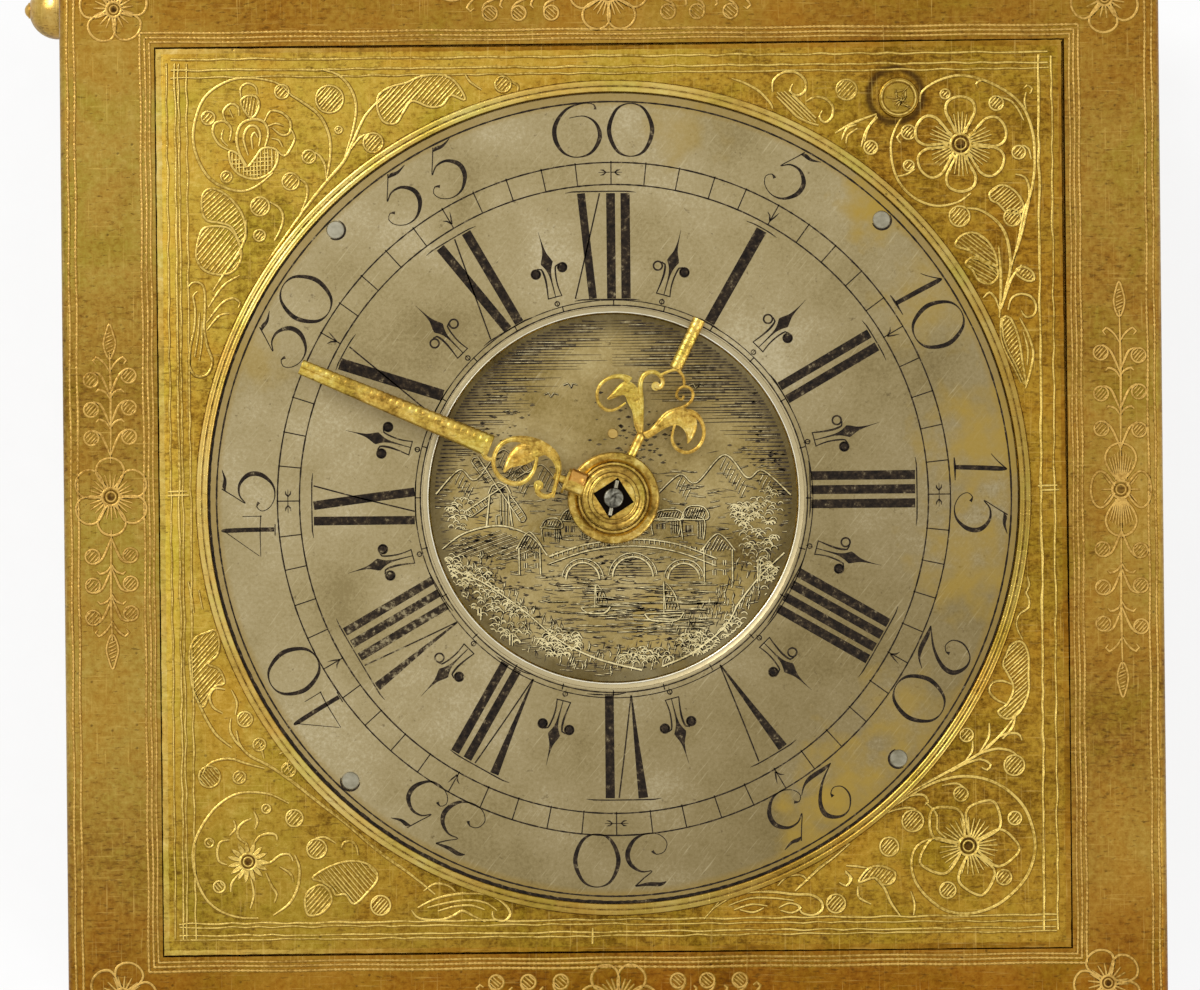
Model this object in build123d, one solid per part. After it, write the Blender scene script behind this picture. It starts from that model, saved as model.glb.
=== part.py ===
from build123d import *
import math
import os

os.makedirs("parts", exist_ok=True)

# Horizontal square table clock, in millimetres. X runs to the right of the dial, Y towards
# its twelve, Z up from the table. The origin is on the table, under the centre arbor.

# Clearances
slip = 0.05  # radial room of a shaft that turns in its hole
seat = 0.02  # radial room of a fixed piece in its hole
gap = 0.3  # room between two pieces that pass each other

# Plinth
plinth_reach = 6.5  # of its foot beyond the case
plinth_height = 14.0
plinth_band = 5.0
plinth_cove = 3.5
plinth_bead = 1.2
plinth_wall = 11.0
plinth_rebate = 3.8
base_plate_rise = 1.5
base_plate_thick = 2.0
base_screw_radius = 0.9
base_screw_length = 6.0
base_screw_inset = 12.0  # from the opening's corners

# Case
case_half = 58.5
wall_thick = 2.2
skirt_height = 9.0
skirt_thick = 0.9
frame_reach = 4.0  # beyond the case
frame_border = 10.85
frame_top = 86.0
frame_thick = 7.5
frame_round = 1.2
cornice_height = 6.0
cornice_cove = 3.0
window_stile = 16.5
window_lintel = 6.5  # under the cornice
window_rail = 14.0  # over the plinth
window_corner = 3.0
bezel_width = 3.5
bezel_thick = 1.2
pane_margin = 2.0
pane_thick = 1.5
pane_play = 0.2
clip_width = 3.0
clip_thick = 0.6
clip_foot = 2.2
clip_grip = 2.5

# Hinge and catch
knuckle_radius = 2.2
hinge_pin_radius = 1.0
lug_length = 17.0
leaf_thick = 0.8
leaf_height = 8.2
leaf_screw_pitch = 26.0
finial_ball_radius = 3.65
finial_collar_radius = 2.0
finial_collar_length = 0.9
finial_nipple_radius = 1.0
finial_nipple_length = 0.55
catch_width = 8.0
catch_thick = 0.8
catch_foot_height = 3.0
catch_nose_thick = 1.7
catch_nose_reach = 2.3
catch_screw_radius = 0.6
catch_screw_depth = 2.5
strike_thick = 1.8
strike_height = 2.6
button_level = 10.4
button_radius = 2.0
button_stem_radius = 1.1
button_head_length = 2.6
button_travel = 1.2
button_clip_radius = 1.9
button_clip_thick = 0.4

# Dial
dial_play = 0.3
dial_thick = 1.8
dial_below_frame = 0.2
dial_ledge = 4.8
dial_screw_radius = 0.9
dial_screw_inset = 2.4
dial_screw_grip = 3.0  # ledge left over the screw's head
dial_screw_depth = 1.2  # into the dial plate
dial_bevel = 0.12
ring_margin = 5.35  # to the dial plate's edge
ring_inner_radius = 21.0
ring_thick = 1.0
ring_bevel = 0.7
rim_width = 1.3
rim_rise = 0.3
ring_pin_radius = 1.0
ring_pin_inset = 2.2
ring_pin_rise = 0.12
disc_play = 0.15
disc_thick = 0.7
disc_recess = 0.9
disc_rivet_radius = 0.6
disc_rivet_offset = 7.3
plug_radius = 2.3
plug_rise = 0.5
plug_lip = 0.3
plug_inset_x = 18.55
plug_inset_y = 6.25
dial_hole_radius = 3.2

# Hands
hour_boss_radius = 5.2
hour_boss_thick = 1.9
hour_hand_rise = 1.5  # under the boss, above the dial
minute_boss_radius = 3.57
minute_boss_thick = 2.2
hand_gap = 0.4
hand_thick = 1.0
hand_square = 3.25
square_play = 0.03
arbor_end_radius = 1.15
arbor_end_rise = 1.2
arbor_end_sink = 0.6  # the square's top under the boss's top
hand_pin_radius = 0.26
hand_pin_length = 4.0
hand_pin_bearing = 77.4  # a corner of the hand's square points the same way
hour_hand_angle = -26.4
minute_hand_angle = 66.7
minute_rod_root = 15.0
minute_rod_tip = 38.2
minute_rod_root_radius = 0.9
minute_rod_tip_radius = 0.5
minute_collar_radius = 1.0
minute_collar_start = 2.5
minute_collar_end = 5.5
minute_stem_radius = 0.45
minute_stem_end = 7.2
minute_disc_radius = 1.5
minute_disc_thick = 0.3
hour_rod_root = 16.0
hour_rod_tip = 22.4
hour_rod_radius = 0.55
hour_stem_radius = 0.5
hour_stem_end = 8.2

# Movement plates
plate_half = 41.0
plate_thick = 2.0
plate_corner = 2.0
under_dial = 11.0  # room between the top plate and the dial
between_plates = 35.0
pillar_inset = 4.0
pillar_radius = 2.8
tenon_radius = 1.3
tenon_rise = 2.6
taper_pin_radius = 0.35
taper_pin_length = 7.0
dial_foot_inset = 3.5
dial_foot_radius = 1.6
dial_foot_tenon_radius = 1.04
dial_foot_rivet_radius = 0.96
dial_foot_rivet_depth = 0.9
pivot_radius = 0.5
shoulder = 0.2  # end play of an arbor between the plates
staff_hole_radius = 3.0
great_rise = 5.0  # of each wheel over the plate under it
third_rise = 9.0
contrate_rise = 13.7
centre_drop = 4.8  # under the top plate
minute_rise = 1.6
hour_rise = 6.0

# Wheels: teeth and module of each mesh
great_teeth = 84
centre_pinion_leaves = 12
great_module = 0.5
centre_teeth = 72
third_pinion_leaves = 8
centre_module = 0.4
third_teeth = 64
contrate_pinion_leaves = 8
third_module = 0.36
contrate_teeth = 56
contrate_face = 1.2  # width of its teeth
crown_pinion_leaves = 8
crown_teeth = 15
cannon_leaves = 12
minute_teeth = 36
cannon_module = 0.5
minute_leaves = 10
hour_teeth = 40
barrel_bearing = 225.0
third_bearing = 10.0
contrate_bearing = 60.0
crown_bearing = 150.0
minute_bearing = -60.0
wheel_thick = 1.4
thin_wheel_thick = 1.2
arbor_radius = 0.9
centre_arbor_radius = 1.15
centre_pipe_radius = 2.0
cannon_pipe_radius = 2.1
hour_pipe_wall = 0.6
spokes = 4
spoke_width = 1.3
wheel_rim = 1.6

# Barrel and winding work
barrel_radius = 18.0
barrel_wall = 1.2
barrel_height = 22.5
barrel_arbor_radius = 2.2
barrel_pivot_radius = 1.6
spring_hub_radius = 5.0
winding_square = 2.2
winding_square_length = 7.0
ratchet_radius = 7.5
ratchet_teeth = 24
ratchet_thick = 1.5
click_hub_radius = 1.6
click_pivot_distance = 11.5
click_bearing = 20.0
click_reach = 45.0  # round the ratchet from the pivot to the beak
click_clear = 0.15
click_screw_play = 0.1

# Escapement
crown_radius = 6.5
crown_wall = 0.8
crown_tooth_depth = 2.0
crown_wheel_place = 14.6
crown_wheel_length = 3.0
pallet_reach = 1.2
pallet_gap = 0.4
pallet_width = 1.3
staff_radius = 0.6
potence_place = 12.6
potence_thick = 1.6
potence_head = 2.6  # over the crown wheel
potence_half = 2.0
potence_screw_across = 4.8
counter_place = 3.6
counter_thick = 2.0
counter_half = 1.0
counter_screw_across = 4.6
potence_foot_thick = 1.4
potence_foot_margin = 1.7
crown_arbor_radius = 0.8
crown_pinion_length = 2.6
staff_pivot_radius = 0.4
balance_radius = 13.0
balance_rim = 1.5
balance_thick = 1.6
balance_level = 27.6
cock_thick = 1.6
cock_level = 23.2
cock_table_radius = 10.0
cock_foot_distance = 17.0
cock_foot_radius = 2.8
cock_neck = 5.0
cock_bearing = 20.0
spring_level = 31.0
spring_inner_radius = 1.7
spring_collet_radius = 1.36  # its rim holds the wire's inner end
spring_collet_length = 1.4
spring_pitch = 1.05
spring_half_turns = 9
spring_wire_radius = 0.12
plate_screw_radius = 0.8
screw_head_radius = 1.5
screw_head_thick = 0.8

# Levels and places worked out from the sizes above
plinth_half = case_half + plinth_reach
plinth_opening_half = plinth_half - plinth_wall
plinth_top = plinth_height
frame_half = case_half + frame_reach
window_width = 2 * (case_half - window_stile)
window_sill = plinth_top + window_rail
wall_inner = case_half - wall_thick
frame_bottom = frame_top - frame_thick
window_height = frame_bottom - cornice_height - window_lintel - window_sill
dial_top = frame_top - dial_below_frame
dial_bottom = dial_top - dial_thick
dial_opening_half = frame_half - frame_border
dial_half = dial_opening_half - dial_play
ring_radius = dial_half - ring_margin
ring_pin_circle = ring_radius - ring_pin_inset
plug_x = dial_half - plug_inset_x
plug_y = dial_half - plug_inset_y
ledge_half = dial_opening_half - dial_ledge
ring_top = dial_top + ring_thick
disc_floor = dial_top - disc_recess
disc_radius = ring_inner_radius - disc_play
plate_top = dial_bottom - under_dial
plate_underside = plate_top - plate_thick
back_top = plate_underside - between_plates
back_bottom = back_top - plate_thick
pillar_place = plate_half - pillar_inset
dial_foot_offset = plate_half - dial_foot_inset
hinge_behind = case_half + skirt_thick + gap + knuckle_radius
hinge_level = plinth_top + knuckle_radius + gap
lug_end = plinth_half - gap
lug_start = lug_end - lug_length
hour_boss_bottom = dial_top + hour_hand_rise
hour_boss_top = hour_boss_bottom + hour_boss_thick
minute_boss_bottom = hour_boss_top + hand_gap
minute_boss_top = minute_boss_bottom + minute_boss_thick
square_top = minute_boss_top - arbor_end_sink
arbor_top = square_top + arbor_end_rise
hand_pin_level = square_top + hand_pin_radius + seat


def polar(radius, bearing):
    return (radius * math.cos(math.radians(bearing)), radius * math.sin(math.radians(bearing)))


def centre_distance(wheel_teeth, pinion_leaves, module):
    return module * (wheel_teeth + pinion_leaves) / 2


motion_distance = centre_distance(minute_teeth, cannon_leaves, cannon_module)
hour_module = 2 * motion_distance / (minute_leaves + hour_teeth)
barrel_at = polar(centre_distance(great_teeth, centre_pinion_leaves, great_module), barrel_bearing)
third_at = polar(centre_distance(centre_teeth, third_pinion_leaves, centre_module), third_bearing)
contrate_step = polar(centre_distance(third_teeth, contrate_pinion_leaves, third_module), contrate_bearing)
contrate_at = (third_at[0] + contrate_step[0], third_at[1] + contrate_step[1])
minute_at = polar(motion_distance, minute_bearing)
staff_place = crown_wheel_place + crown_wheel_length + pallet_gap + pallet_reach
staff_step = polar(staff_place, crown_bearing)
staff_at = (contrate_at[0] + staff_step[0], contrate_at[1] + staff_step[1])
cock_step = polar(cock_foot_distance, cock_bearing)
cock_foot_at = (staff_at[0] + cock_step[0], staff_at[1] + cock_step[1])

great_level = back_top + great_rise
third_level = back_top + third_rise
centre_level = plate_underside - centre_drop
contrate_pitch_level = back_top + contrate_rise
contrate_radius = third_module * contrate_teeth / 2
crown_pinion_radius = third_module * crown_pinion_leaves / 2
crown_level = contrate_pitch_level - crown_pinion_radius
potence_top = crown_level + crown_radius + potence_head
minute_level = plate_top + minute_rise
hour_level = plate_top + hour_rise


def box(x0, x1, y0, y1, z0, z1):
    return Pos((x0 + x1) / 2, (y0 + y1) / 2, (z0 + z1) / 2) * Box(x1 - x0, y1 - y0, z1 - z0)


def rod(x, y, z0, z1, radius):
    return Pos(x, y, (z0 + z1) / 2) * Cylinder(radius, z1 - z0)


def tube(x, y, z0, z1, outer, inner):
    return rod(x, y, z0, z1, outer) - rod(x, y, z0 - 1, z1 + 1, inner)


def square_block(half, z0, z1):
    return box(-half, half, -half, half, z0, z1)


def along_x(radius, x0, x1, y, z):
    return Pos((x0 + x1) / 2, y, z) * Rot(0, 90, 0) * Cylinder(radius, x1 - x0)


def along_y(radius, y0, y1, x, z):
    return Pos(x, (y0 + y1) / 2, z) * Rot(90, 0, 0) * Cylinder(radius, y1 - y0)


def turned(*edges):
    """A turned piece about Z: the edges run in X and Z from the axis round to the axis again."""
    face = make_face(Curve() + [Plane.XZ * edge for edge in edges])
    return revolve(face, Axis.Z)


def turned_polyline(*points):
    return turned(Polyline(*points, close=True))


def moulded_block(half_depth, *edges):
    """A square block whose half-width follows the edges, given in X and Z for its right side."""
    right = make_face(Curve() + list(edges))
    outline = Plane.XZ * (right + mirror(right, Plane.YZ))
    lengthwise = extrude(outline, half_depth, both=True)
    return lengthwise & (Rot(0, 0, 90) * lengthwise)


def upright_rounded_block(half, corner, z0, z1):
    return Pos(0, 0, z0) * extrude(RectangleRounded(2 * half, 2 * half, corner), z1 - z0)


def on_sides(piece):
    return [Rot(0, 0, 90 * side) * piece for side in range(4)]


def on_corners(distance):
    return [(sx * distance, sy * distance) for sx in (-1, 1) for sy in (-1, 1)]


def gear_outline(teeth, module, addendum, dedendum, tip_share, pitch_share):
    """Straight-flanked teeth, slim enough for play, the first one centred on the X axis."""
    pitch_radius = module * teeth / 2
    tip = pitch_radius + addendum * module
    root = pitch_radius - dedendum * module
    step = 2 * math.pi / teeth
    slope = (pitch_share - tip_share) / addendum
    root_share = pitch_share + slope * dedendum
    points = []
    for tooth in range(teeth):
        middle = tooth * step
        for radius, share in ((root, -root_share), (tip, -tip_share), (tip, tip_share), (root, root_share)):
            angle = middle + share * step / 2
            points.append((radius * math.cos(angle), radius * math.sin(angle)))
    return make_face(Polyline(*points, close=True))


def wheel_outline(teeth, module):
    return gear_outline(teeth, module, 0.85, 1.25, 0.12, 0.40)


def pinion_outline(leaves, module):
    return gear_outline(leaves, module, 0.75, 1.15, 0.14, 0.36)


def mesh_turn(bearing, own_teeth, other_turn, other_teeth):
    """Turn that puts a gap of one gear on the line of centres where the other has a tooth.

    other_turn is the turn of the other gear, and bearing is that of this gear seen from it.
    """
    other_phase = ((bearing - other_turn) * other_teeth / 360) % 1
    pitch = 360 / own_teeth
    return bearing + 180 + pitch * (other_phase + 0.5)


def plain_wheel(teeth, module, thick, hub_radius, bore, rim=None):
    """A crossed-out wheel: toothed rim, hub and spokes, its underside at Z 0."""
    blank = extrude(wheel_outline(teeth, module), thick)
    inner = module * teeth / 2 - 1.25 * module - (rim or wheel_rim)
    crossing = extrude(Circle(inner) - Circle(hub_radius), thick)
    for spoke in range(spokes // 2):
        turn = Rot(0, 0, 180 * spoke / (spokes // 2))
        crossing -= turn * Pos(0, 0, thick / 2) * Box(2 * inner + 1, spoke_width, thick + 1)
    return blank - crossing - Cylinder(bore, 4 * thick)


def screw(radius, length, head_radius, head_thick):
    """A cheese-headed screw, head up with its underside at Z 0, with a cut slot."""
    body = Pos(0, 0, -length / 2) * Cylinder(radius, length)
    head = Pos(0, 0, head_thick / 2) * Cylinder(head_radius, head_thick)
    slot = Pos(0, 0, head_thick) * Box(2 * head_radius + 1, head_radius / 4, head_thick * 0.8)
    return body + head - slot


def group(pieces):
    return Compound(children=[p for piece in pieces for p in piece.solids()])


# Plinth: a moulded square ring that rests flat on the table, with a rebate for the base plate
def make_plinth():
    top_half = plinth_half - plinth_cove
    cove_top = plinth_band + plinth_cove
    diagonal = plinth_cove * math.sqrt(0.5)
    bead_low = button_level - plinth_bead
    bead_high = button_level + plinth_bead
    block = moulded_block(
        plinth_half + 1,
        Line((0, 0), (plinth_half, 0)),
        Line((plinth_half, 0), (plinth_half, plinth_band)),
        ThreePointArc(
            (plinth_half, plinth_band),
            (plinth_half - diagonal, cove_top - diagonal),
            (top_half, cove_top),
        ),
        Line((top_half, cove_top), (top_half, bead_low)),
        ThreePointArc((top_half, bead_low), (top_half + plinth_bead, button_level), (top_half, bead_high)),
        Line((top_half, bead_high), (top_half, plinth_height)),
        Line((top_half, plinth_height), (0, plinth_height)),
        Line((0, plinth_height), (0, 0)),
    )
    opening = square_block(plinth_opening_half, -1, plinth_height + 1)
    rebate = square_block(plinth_opening_half + plinth_rebate, -1, base_plate_rise + base_plate_thick)
    button_hole = along_y(button_stem_radius + slip, -plinth_half - 1, 0, 0, button_level)
    head_room = along_y(button_radius + gap, -plinth_half - 1, button_seat, 0, button_level)
    plinth = block - opening - rebate - button_hole - head_room
    for x, y in base_screw_places:
        plinth -= rod(x, y, 0, base_plate_rise + base_screw_length, base_screw_radius + seat)
    for x in catch_screw_x:
        hole_end = -plinth_opening_half - catch_screw_depth - 0.1
        plinth -= along_y(catch_screw_radius + seat, hole_end, 0, x, catch_screw_level)
    return plinth


button_face = plinth_half - plinth_cove + plinth_bead
button_seat = -(button_face - 0.4 - button_travel)
base_screw_line = plinth_opening_half + plinth_rebate / 2
base_screw_along = plinth_opening_half - base_screw_inset
base_screw_places = [
    (sx * base_screw_along, sy * base_screw_line) for sx in (-1, 1) for sy in (-1, 1)
] + [(sx * base_screw_line, sy * base_screw_along) for sx in (-1, 1) for sy in (-1, 1)]


def make_base_plate():
    half = plinth_opening_half + plinth_rebate - gap
    plate = square_block(half, base_plate_rise, base_plate_rise + base_plate_thick)
    for x, y in base_screw_places:
        plate -= rod(x, y, 0, base_plate_rise + base_plate_thick + 1, base_screw_radius + seat)
    return plate


def make_base_screws():
    one = Rot(180, 0, 0) * screw(
        base_screw_radius, base_screw_length - 0.2, screw_head_radius, screw_head_thick
    )
    return group([Pos(x, y, base_plate_rise) * one for x, y in base_screw_places])


# Hinge: two lugs on the plinth, a long knuckle on the case, and a pin with a turned finial
def make_hinge_lugs():
    front = hinge_behind - knuckle_radius
    back = hinge_behind + knuckle_radius
    lug = along_x(knuckle_radius, lug_start, lug_end, hinge_behind, hinge_level)
    lug += box(lug_start, lug_end, front, back, plinth_top, hinge_level)
    lug -= along_x(hinge_pin_radius + seat, 0, plinth_half + 1, hinge_behind, hinge_level)
    return group([lug, mirror(lug, Plane.YZ)])


def make_hinge_pin():
    return along_x(hinge_pin_radius, -lug_end - finial_ball_at, lug_end, hinge_behind, hinge_level)


finial_ball_at = finial_collar_length + finial_ball_radius - 0.25


def make_finial():
    ball_at = finial_ball_at
    tip = ball_at + finial_ball_radius + finial_nipple_length
    ball = Pos(0, 0, ball_at) * Sphere(finial_ball_radius)
    collar = Pos(0, 0, finial_collar_length / 2) * Cylinder(finial_collar_radius, finial_collar_length)
    neck = rod(0, 0, finial_collar_length - 0.1, ball_at, finial_collar_radius * 0.75)
    nipple = rod(0, 0, ball_at, tip - finial_nipple_radius * 0.5, finial_nipple_radius)
    end = Pos(0, 0, tip - finial_nipple_radius) * Sphere(finial_nipple_radius)
    piece = collar + neck + ball + nipple + end
    piece -= rod(0, 0, -1, ball_at + seat, hinge_pin_radius + seat)
    return Pos(-lug_end, hinge_behind, hinge_level) * Rot(0, -90, 0) * piece


def make_hinge_leaf():
    reach = lug_start - gap
    knuckle = along_x(knuckle_radius, -reach, reach, hinge_behind, hinge_level)
    skirt_face = case_half + skirt_thick
    low = hinge_level - knuckle_radius
    leaf = box(-reach, reach, skirt_face, skirt_face + leaf_thick, low, low + leaf_height)
    web = box(-reach, reach, skirt_face, hinge_behind, low, hinge_level)
    bore = along_x(hinge_pin_radius + slip, -reach - 1, reach + 1, hinge_behind, hinge_level)
    piece = knuckle + leaf + web - bore
    for x in leaf_screw_x:
        piece -= along_y(base_screw_radius + seat, skirt_face - 1, hinge_behind, x, leaf_screw_level)
    return piece


leaf_screw_level = hinge_level - knuckle_radius + leaf_height - 2.0
leaf_screw_x = [leaf_screw_pitch * (n - 1) for n in range(3)]
leaf_screw_depth = skirt_thick + wall_thick - 0.3


def make_hinge_leaf_screws():
    face = case_half + skirt_thick + leaf_thick
    one = Rot(-90, 0, 0) * screw(base_screw_radius, leaf_thick + leaf_screw_depth, screw_head_radius, 0.5)
    return group([Pos(x, face, leaf_screw_level) * one for x in leaf_screw_x])


# Catch: a sprung leaf on the plinth hooks over a strike on the case, and a button frees it
catch_foot_low = base_plate_rise + base_plate_thick + 0.8
catch_inner = plinth_opening_half - catch_thick
blade_outer = plinth_opening_half - button_clip_thick - 0.7
blade_inner = blade_outer - catch_thick
strike_face = wall_inner - strike_thick
strike_top = plinth_top + 1.0 + strike_height
catch_screw_level = catch_foot_low + 1.1
catch_screw_x = (-catch_width / 4, catch_width / 4)


def make_catch_spring():
    half = catch_width / 2
    foot_high = catch_foot_low + catch_foot_height
    nose_low = strike_top + gap
    nose_high = nose_low + catch_nose_thick
    foot = box(-half, half, -plinth_opening_half, -catch_inner, catch_foot_low, foot_high)
    jog = box(-half, half, -catch_inner - 0.01, -blade_inner, foot_high - catch_thick, foot_high)
    blade = box(-half, half, -blade_outer, -blade_inner, foot_high - catch_thick, nose_high)
    nose = box(-half + 1, half - 1, -blade_outer - catch_nose_reach, -blade_inner, nose_low, nose_high)
    piece = foot + jog + blade + nose
    for x in catch_screw_x:
        piece -= along_y(catch_screw_radius + seat, -plinth_opening_half - 1, 0, x, catch_screw_level)
    return piece


def make_catch_screws():
    one = Rot(-90, 0, 0) * screw(
        catch_screw_radius, catch_thick + catch_screw_depth, catch_screw_radius * 1.5, 0.4
    )
    return group([Pos(x, -catch_inner, catch_screw_level) * one for x in catch_screw_x])


def make_strike():
    return box(
        -catch_width / 2, catch_width / 2, -wall_inner, -strike_face, strike_top - strike_height, strike_top
    )


def make_catch_button():
    head_outer = button_seat - button_travel - 0.3 - button_head_length
    head_inner = head_outer + button_head_length
    head = along_y(button_radius, head_outer, head_inner, 0, button_level)
    head = fillet(head.edges().sort_by(Axis.Y)[0], button_radius * 0.4)
    stem_end = -plinth_opening_half + button_clip_thick + gap
    return head + along_y(button_stem_radius, head_inner, stem_end, 0, button_level)


def make_button_clip():
    inner = -plinth_opening_half + button_clip_thick
    washer = along_y(button_clip_radius, -plinth_opening_half, inner, 0, button_level)
    return washer - along_y(button_stem_radius + seat, -plinth_half, 0, 0, button_level)


# Case: four side panels with windows, a skirt moulding at their foot, a cornice and the top frame
def make_case_panels():
    skirt_top = plinth_top + skirt_height
    panels = []
    for side in range(4):
        lengthwise = side % 2 == 0
        end = case_half if lengthwise else wall_inner
        panel = box(-end, end, -case_half, -wall_inner, plinth_top, frame_bottom)
        skirt_end = case_half + skirt_thick if lengthwise else case_half
        skirt = box(-skirt_end, skirt_end, -case_half - skirt_thick, -case_half, plinth_top, skirt_top)
        edge = skirt.edges().filter_by(Axis.X).group_by(Axis.Z)[-1].sort_by(Axis.Y)[0]
        skirt = chamfer(edge, skirt_thick * 0.8)
        aperture = box(
            -window_width / 2, window_width / 2, -case_half - 2, -wall_inner + 1,
            window_sill, window_sill + window_height,
        )
        aperture = fillet(aperture.edges().filter_by(Axis.Y), window_corner)
        piece = Rot(0, 0, 90 * side) * (panel + skirt - aperture)
        if side == 2:
            for x in leaf_screw_x:
                hole_end = case_half + skirt_thick - leaf_screw_depth - 0.1
                piece -= along_y(base_screw_radius + seat, hole_end, case_half + 2, x, leaf_screw_level)
        panels.append(piece)
    return group(panels)


def make_cornice():
    low = frame_bottom - cornice_height
    neck = case_half + 0.4
    out = neck + cornice_cove
    cove_high = frame_bottom - 1.2
    diagonal = cornice_cove * (1 - math.sqrt(0.5))
    block = moulded_block(
        frame_half,
        Line((0, low), (case_half + 0.8, low)),
        Line((case_half + 0.8, low), (case_half + 0.8, low + 1.2)),
        Line((case_half + 0.8, low + 1.2), (neck, low + 1.2)),
        Line((neck, low + 1.2), (neck, cove_high - cornice_cove)),
        ThreePointArc(
            (neck, cove_high - cornice_cove),
            (neck + diagonal, cove_high - diagonal),
            (out, cove_high),
        ),
        Line((out, cove_high), (out, frame_bottom)),
        Line((out, frame_bottom), (0, frame_bottom)),
        Line((0, frame_bottom), (0, low)),
    )
    return block - square_block(case_half, 0, frame_top)


def make_top_frame():
    outer = square_block(frame_half, frame_bottom, frame_top)
    outer = fillet(outer.edges().group_by(Axis.Z)[-1], frame_round)
    frame = outer - square_block(dial_opening_half, dial_bottom, frame_top + 1)
    frame -= square_block(ledge_half, frame_bottom - 1, frame_top)
    for x, y in dial_screw_places:
        frame -= rod(x, y, frame_bottom - 1, dial_bottom + 1, dial_screw_radius + seat)
        frame -= rod(x, y, frame_bottom - 1, dial_screw_head, screw_head_radius + gap)
    return frame


dial_screw_head = dial_bottom - dial_screw_grip
dial_screw_places = on_corners(dial_opening_half - dial_screw_inset)


def make_dial_screws():
    length = dial_screw_grip + dial_screw_depth
    one = Rot(180, 0, 0) * screw(dial_screw_radius, length, screw_head_radius, screw_head_thick)
    return group([Pos(x, y, dial_screw_head) * one for x, y in dial_screw_places])


def window_frame(extra, y0, y1):
    piece = box(
        -window_width / 2 - extra, window_width / 2 + extra, y0, y1,
        window_sill - extra, window_sill + window_height + extra,
    )
    return fillet(piece.edges().filter_by(Axis.Y), window_corner + extra)


def make_window_bezels():
    bezel = window_frame(bezel_width, -case_half - bezel_thick, -case_half)
    outer_edges = bezel.faces().sort_by(Axis.Y)[0].edges()
    bezel = chamfer(outer_edges, bezel_thick * 0.6)
    bezel -= window_frame(0, -case_half - bezel_thick - 1, -case_half + 1)
    return group(on_sides(bezel))


def make_window_panes():
    pane = box(
        -window_width / 2 - pane_margin, window_width / 2 + pane_margin,
        -wall_inner, -wall_inner + pane_thick,
        window_sill - pane_margin, window_sill + window_height + pane_margin,
    )
    return group(on_sides(pane))


def make_pane_clips():
    half = window_width / 2 + pane_margin + pane_play
    outer = half + clip_foot
    clips = []
    middle = window_sill + window_height / 2
    for level in (middle - window_height / 3, middle + window_height / 3):
        foot = box(half, outer, -wall_inner, -wall_inner + pane_thick + clip_thick, level, level + clip_width)
        tongue = box(
            half - clip_grip, outer, -wall_inner + pane_thick, -wall_inner + pane_thick + clip_thick,
            level, level + clip_width,
        )
        clip = foot + tongue
        clips += on_sides(clip) + on_sides(mirror(clip, Plane.YZ))
    return group(clips)


# Dial: plate, silvered chapter ring in a gilt rim, recessed centre disc, pins and a plug
def make_dial_plate():
    plate = square_block(dial_half, dial_bottom, dial_top)
    plate = chamfer(plate.edges().group_by(Axis.Z)[-1], dial_bevel)
    plate -= rod(0, 0, disc_floor, dial_top + 1, ring_inner_radius)
    plate -= rod(0, 0, 0, dial_top, dial_hole_radius)
    plate -= rod(plug_x, plug_y, 0, dial_top + 1, plug_radius + seat)
    plate -= rod(0, disc_rivet_offset, 0, dial_top, disc_rivet_radius + seat)
    for x, y in ring_pin_places:
        plate -= rod(x, y, 0, dial_top + 1, ring_pin_radius + seat)
    for x, y in dial_screw_places:
        plate -= rod(x, y, 0, dial_bottom + dial_screw_depth + seat, dial_screw_radius + seat)
    for x, y in dial_foot_places:
        plate -= rod(x, y, 0, dial_bottom + dial_foot_rivet_depth + seat, dial_foot_rivet_radius + seat)
    return plate


ring_pin_places = [polar(ring_pin_circle, bearing) for bearing in (45.5, 135.5, 226.5, 317.0)]
dial_foot_places = [polar(dial_foot_offset, 90 * n) for n in range(4)]


def make_chapter_ring():
    ring = turned_polyline(
        (ring_inner_radius, dial_top),
        (ring_radius, dial_top),
        (ring_radius, ring_top - 0.1),
        (ring_radius - 0.1, ring_top),
        (ring_inner_radius + ring_bevel, ring_top),
        (ring_inner_radius, ring_top - ring_bevel),
    )
    for x, y in ring_pin_places:
        ring -= rod(x, y, dial_top - 1, ring_top + 1, ring_pin_radius + seat)
    return ring


def make_ring_rim():
    inner = ring_radius + seat
    outer = inner + rim_width
    crown = ring_top + rim_rise
    spring_line = crown - rim_width / 2
    return turned(
        Line((inner, dial_top), (outer, dial_top)),
        Line((outer, dial_top), (outer, spring_line)),
        ThreePointArc((outer, spring_line), ((inner + outer) / 2, crown), (inner, spring_line)),
        Line((inner, spring_line), (inner, dial_top)),
    )


def make_ring_pins():
    pins = []
    for x, y in ring_pin_places:
        pin = rod(x, y, dial_bottom, ring_top + ring_pin_rise, ring_pin_radius)
        pins.append(chamfer(pin.edges().sort_by(Axis.Z)[-1], ring_pin_rise * 0.8))
    return group(pins)


def make_centre_disc():
    disc = rod(0, 0, disc_floor, disc_floor + disc_thick, disc_radius)
    disc -= rod(0, 0, 0, dial_top + 1, dial_hole_radius)
    return disc - rod(0, disc_rivet_offset, 0, dial_top + 1, disc_rivet_radius + seat)


def make_centre_rivet():
    top = disc_floor + disc_thick
    body = rod(0, disc_rivet_offset, dial_bottom, top + 0.1, disc_rivet_radius)
    return chamfer(body.edges().sort_by(Axis.Z)[-1], 0.08)


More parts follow.
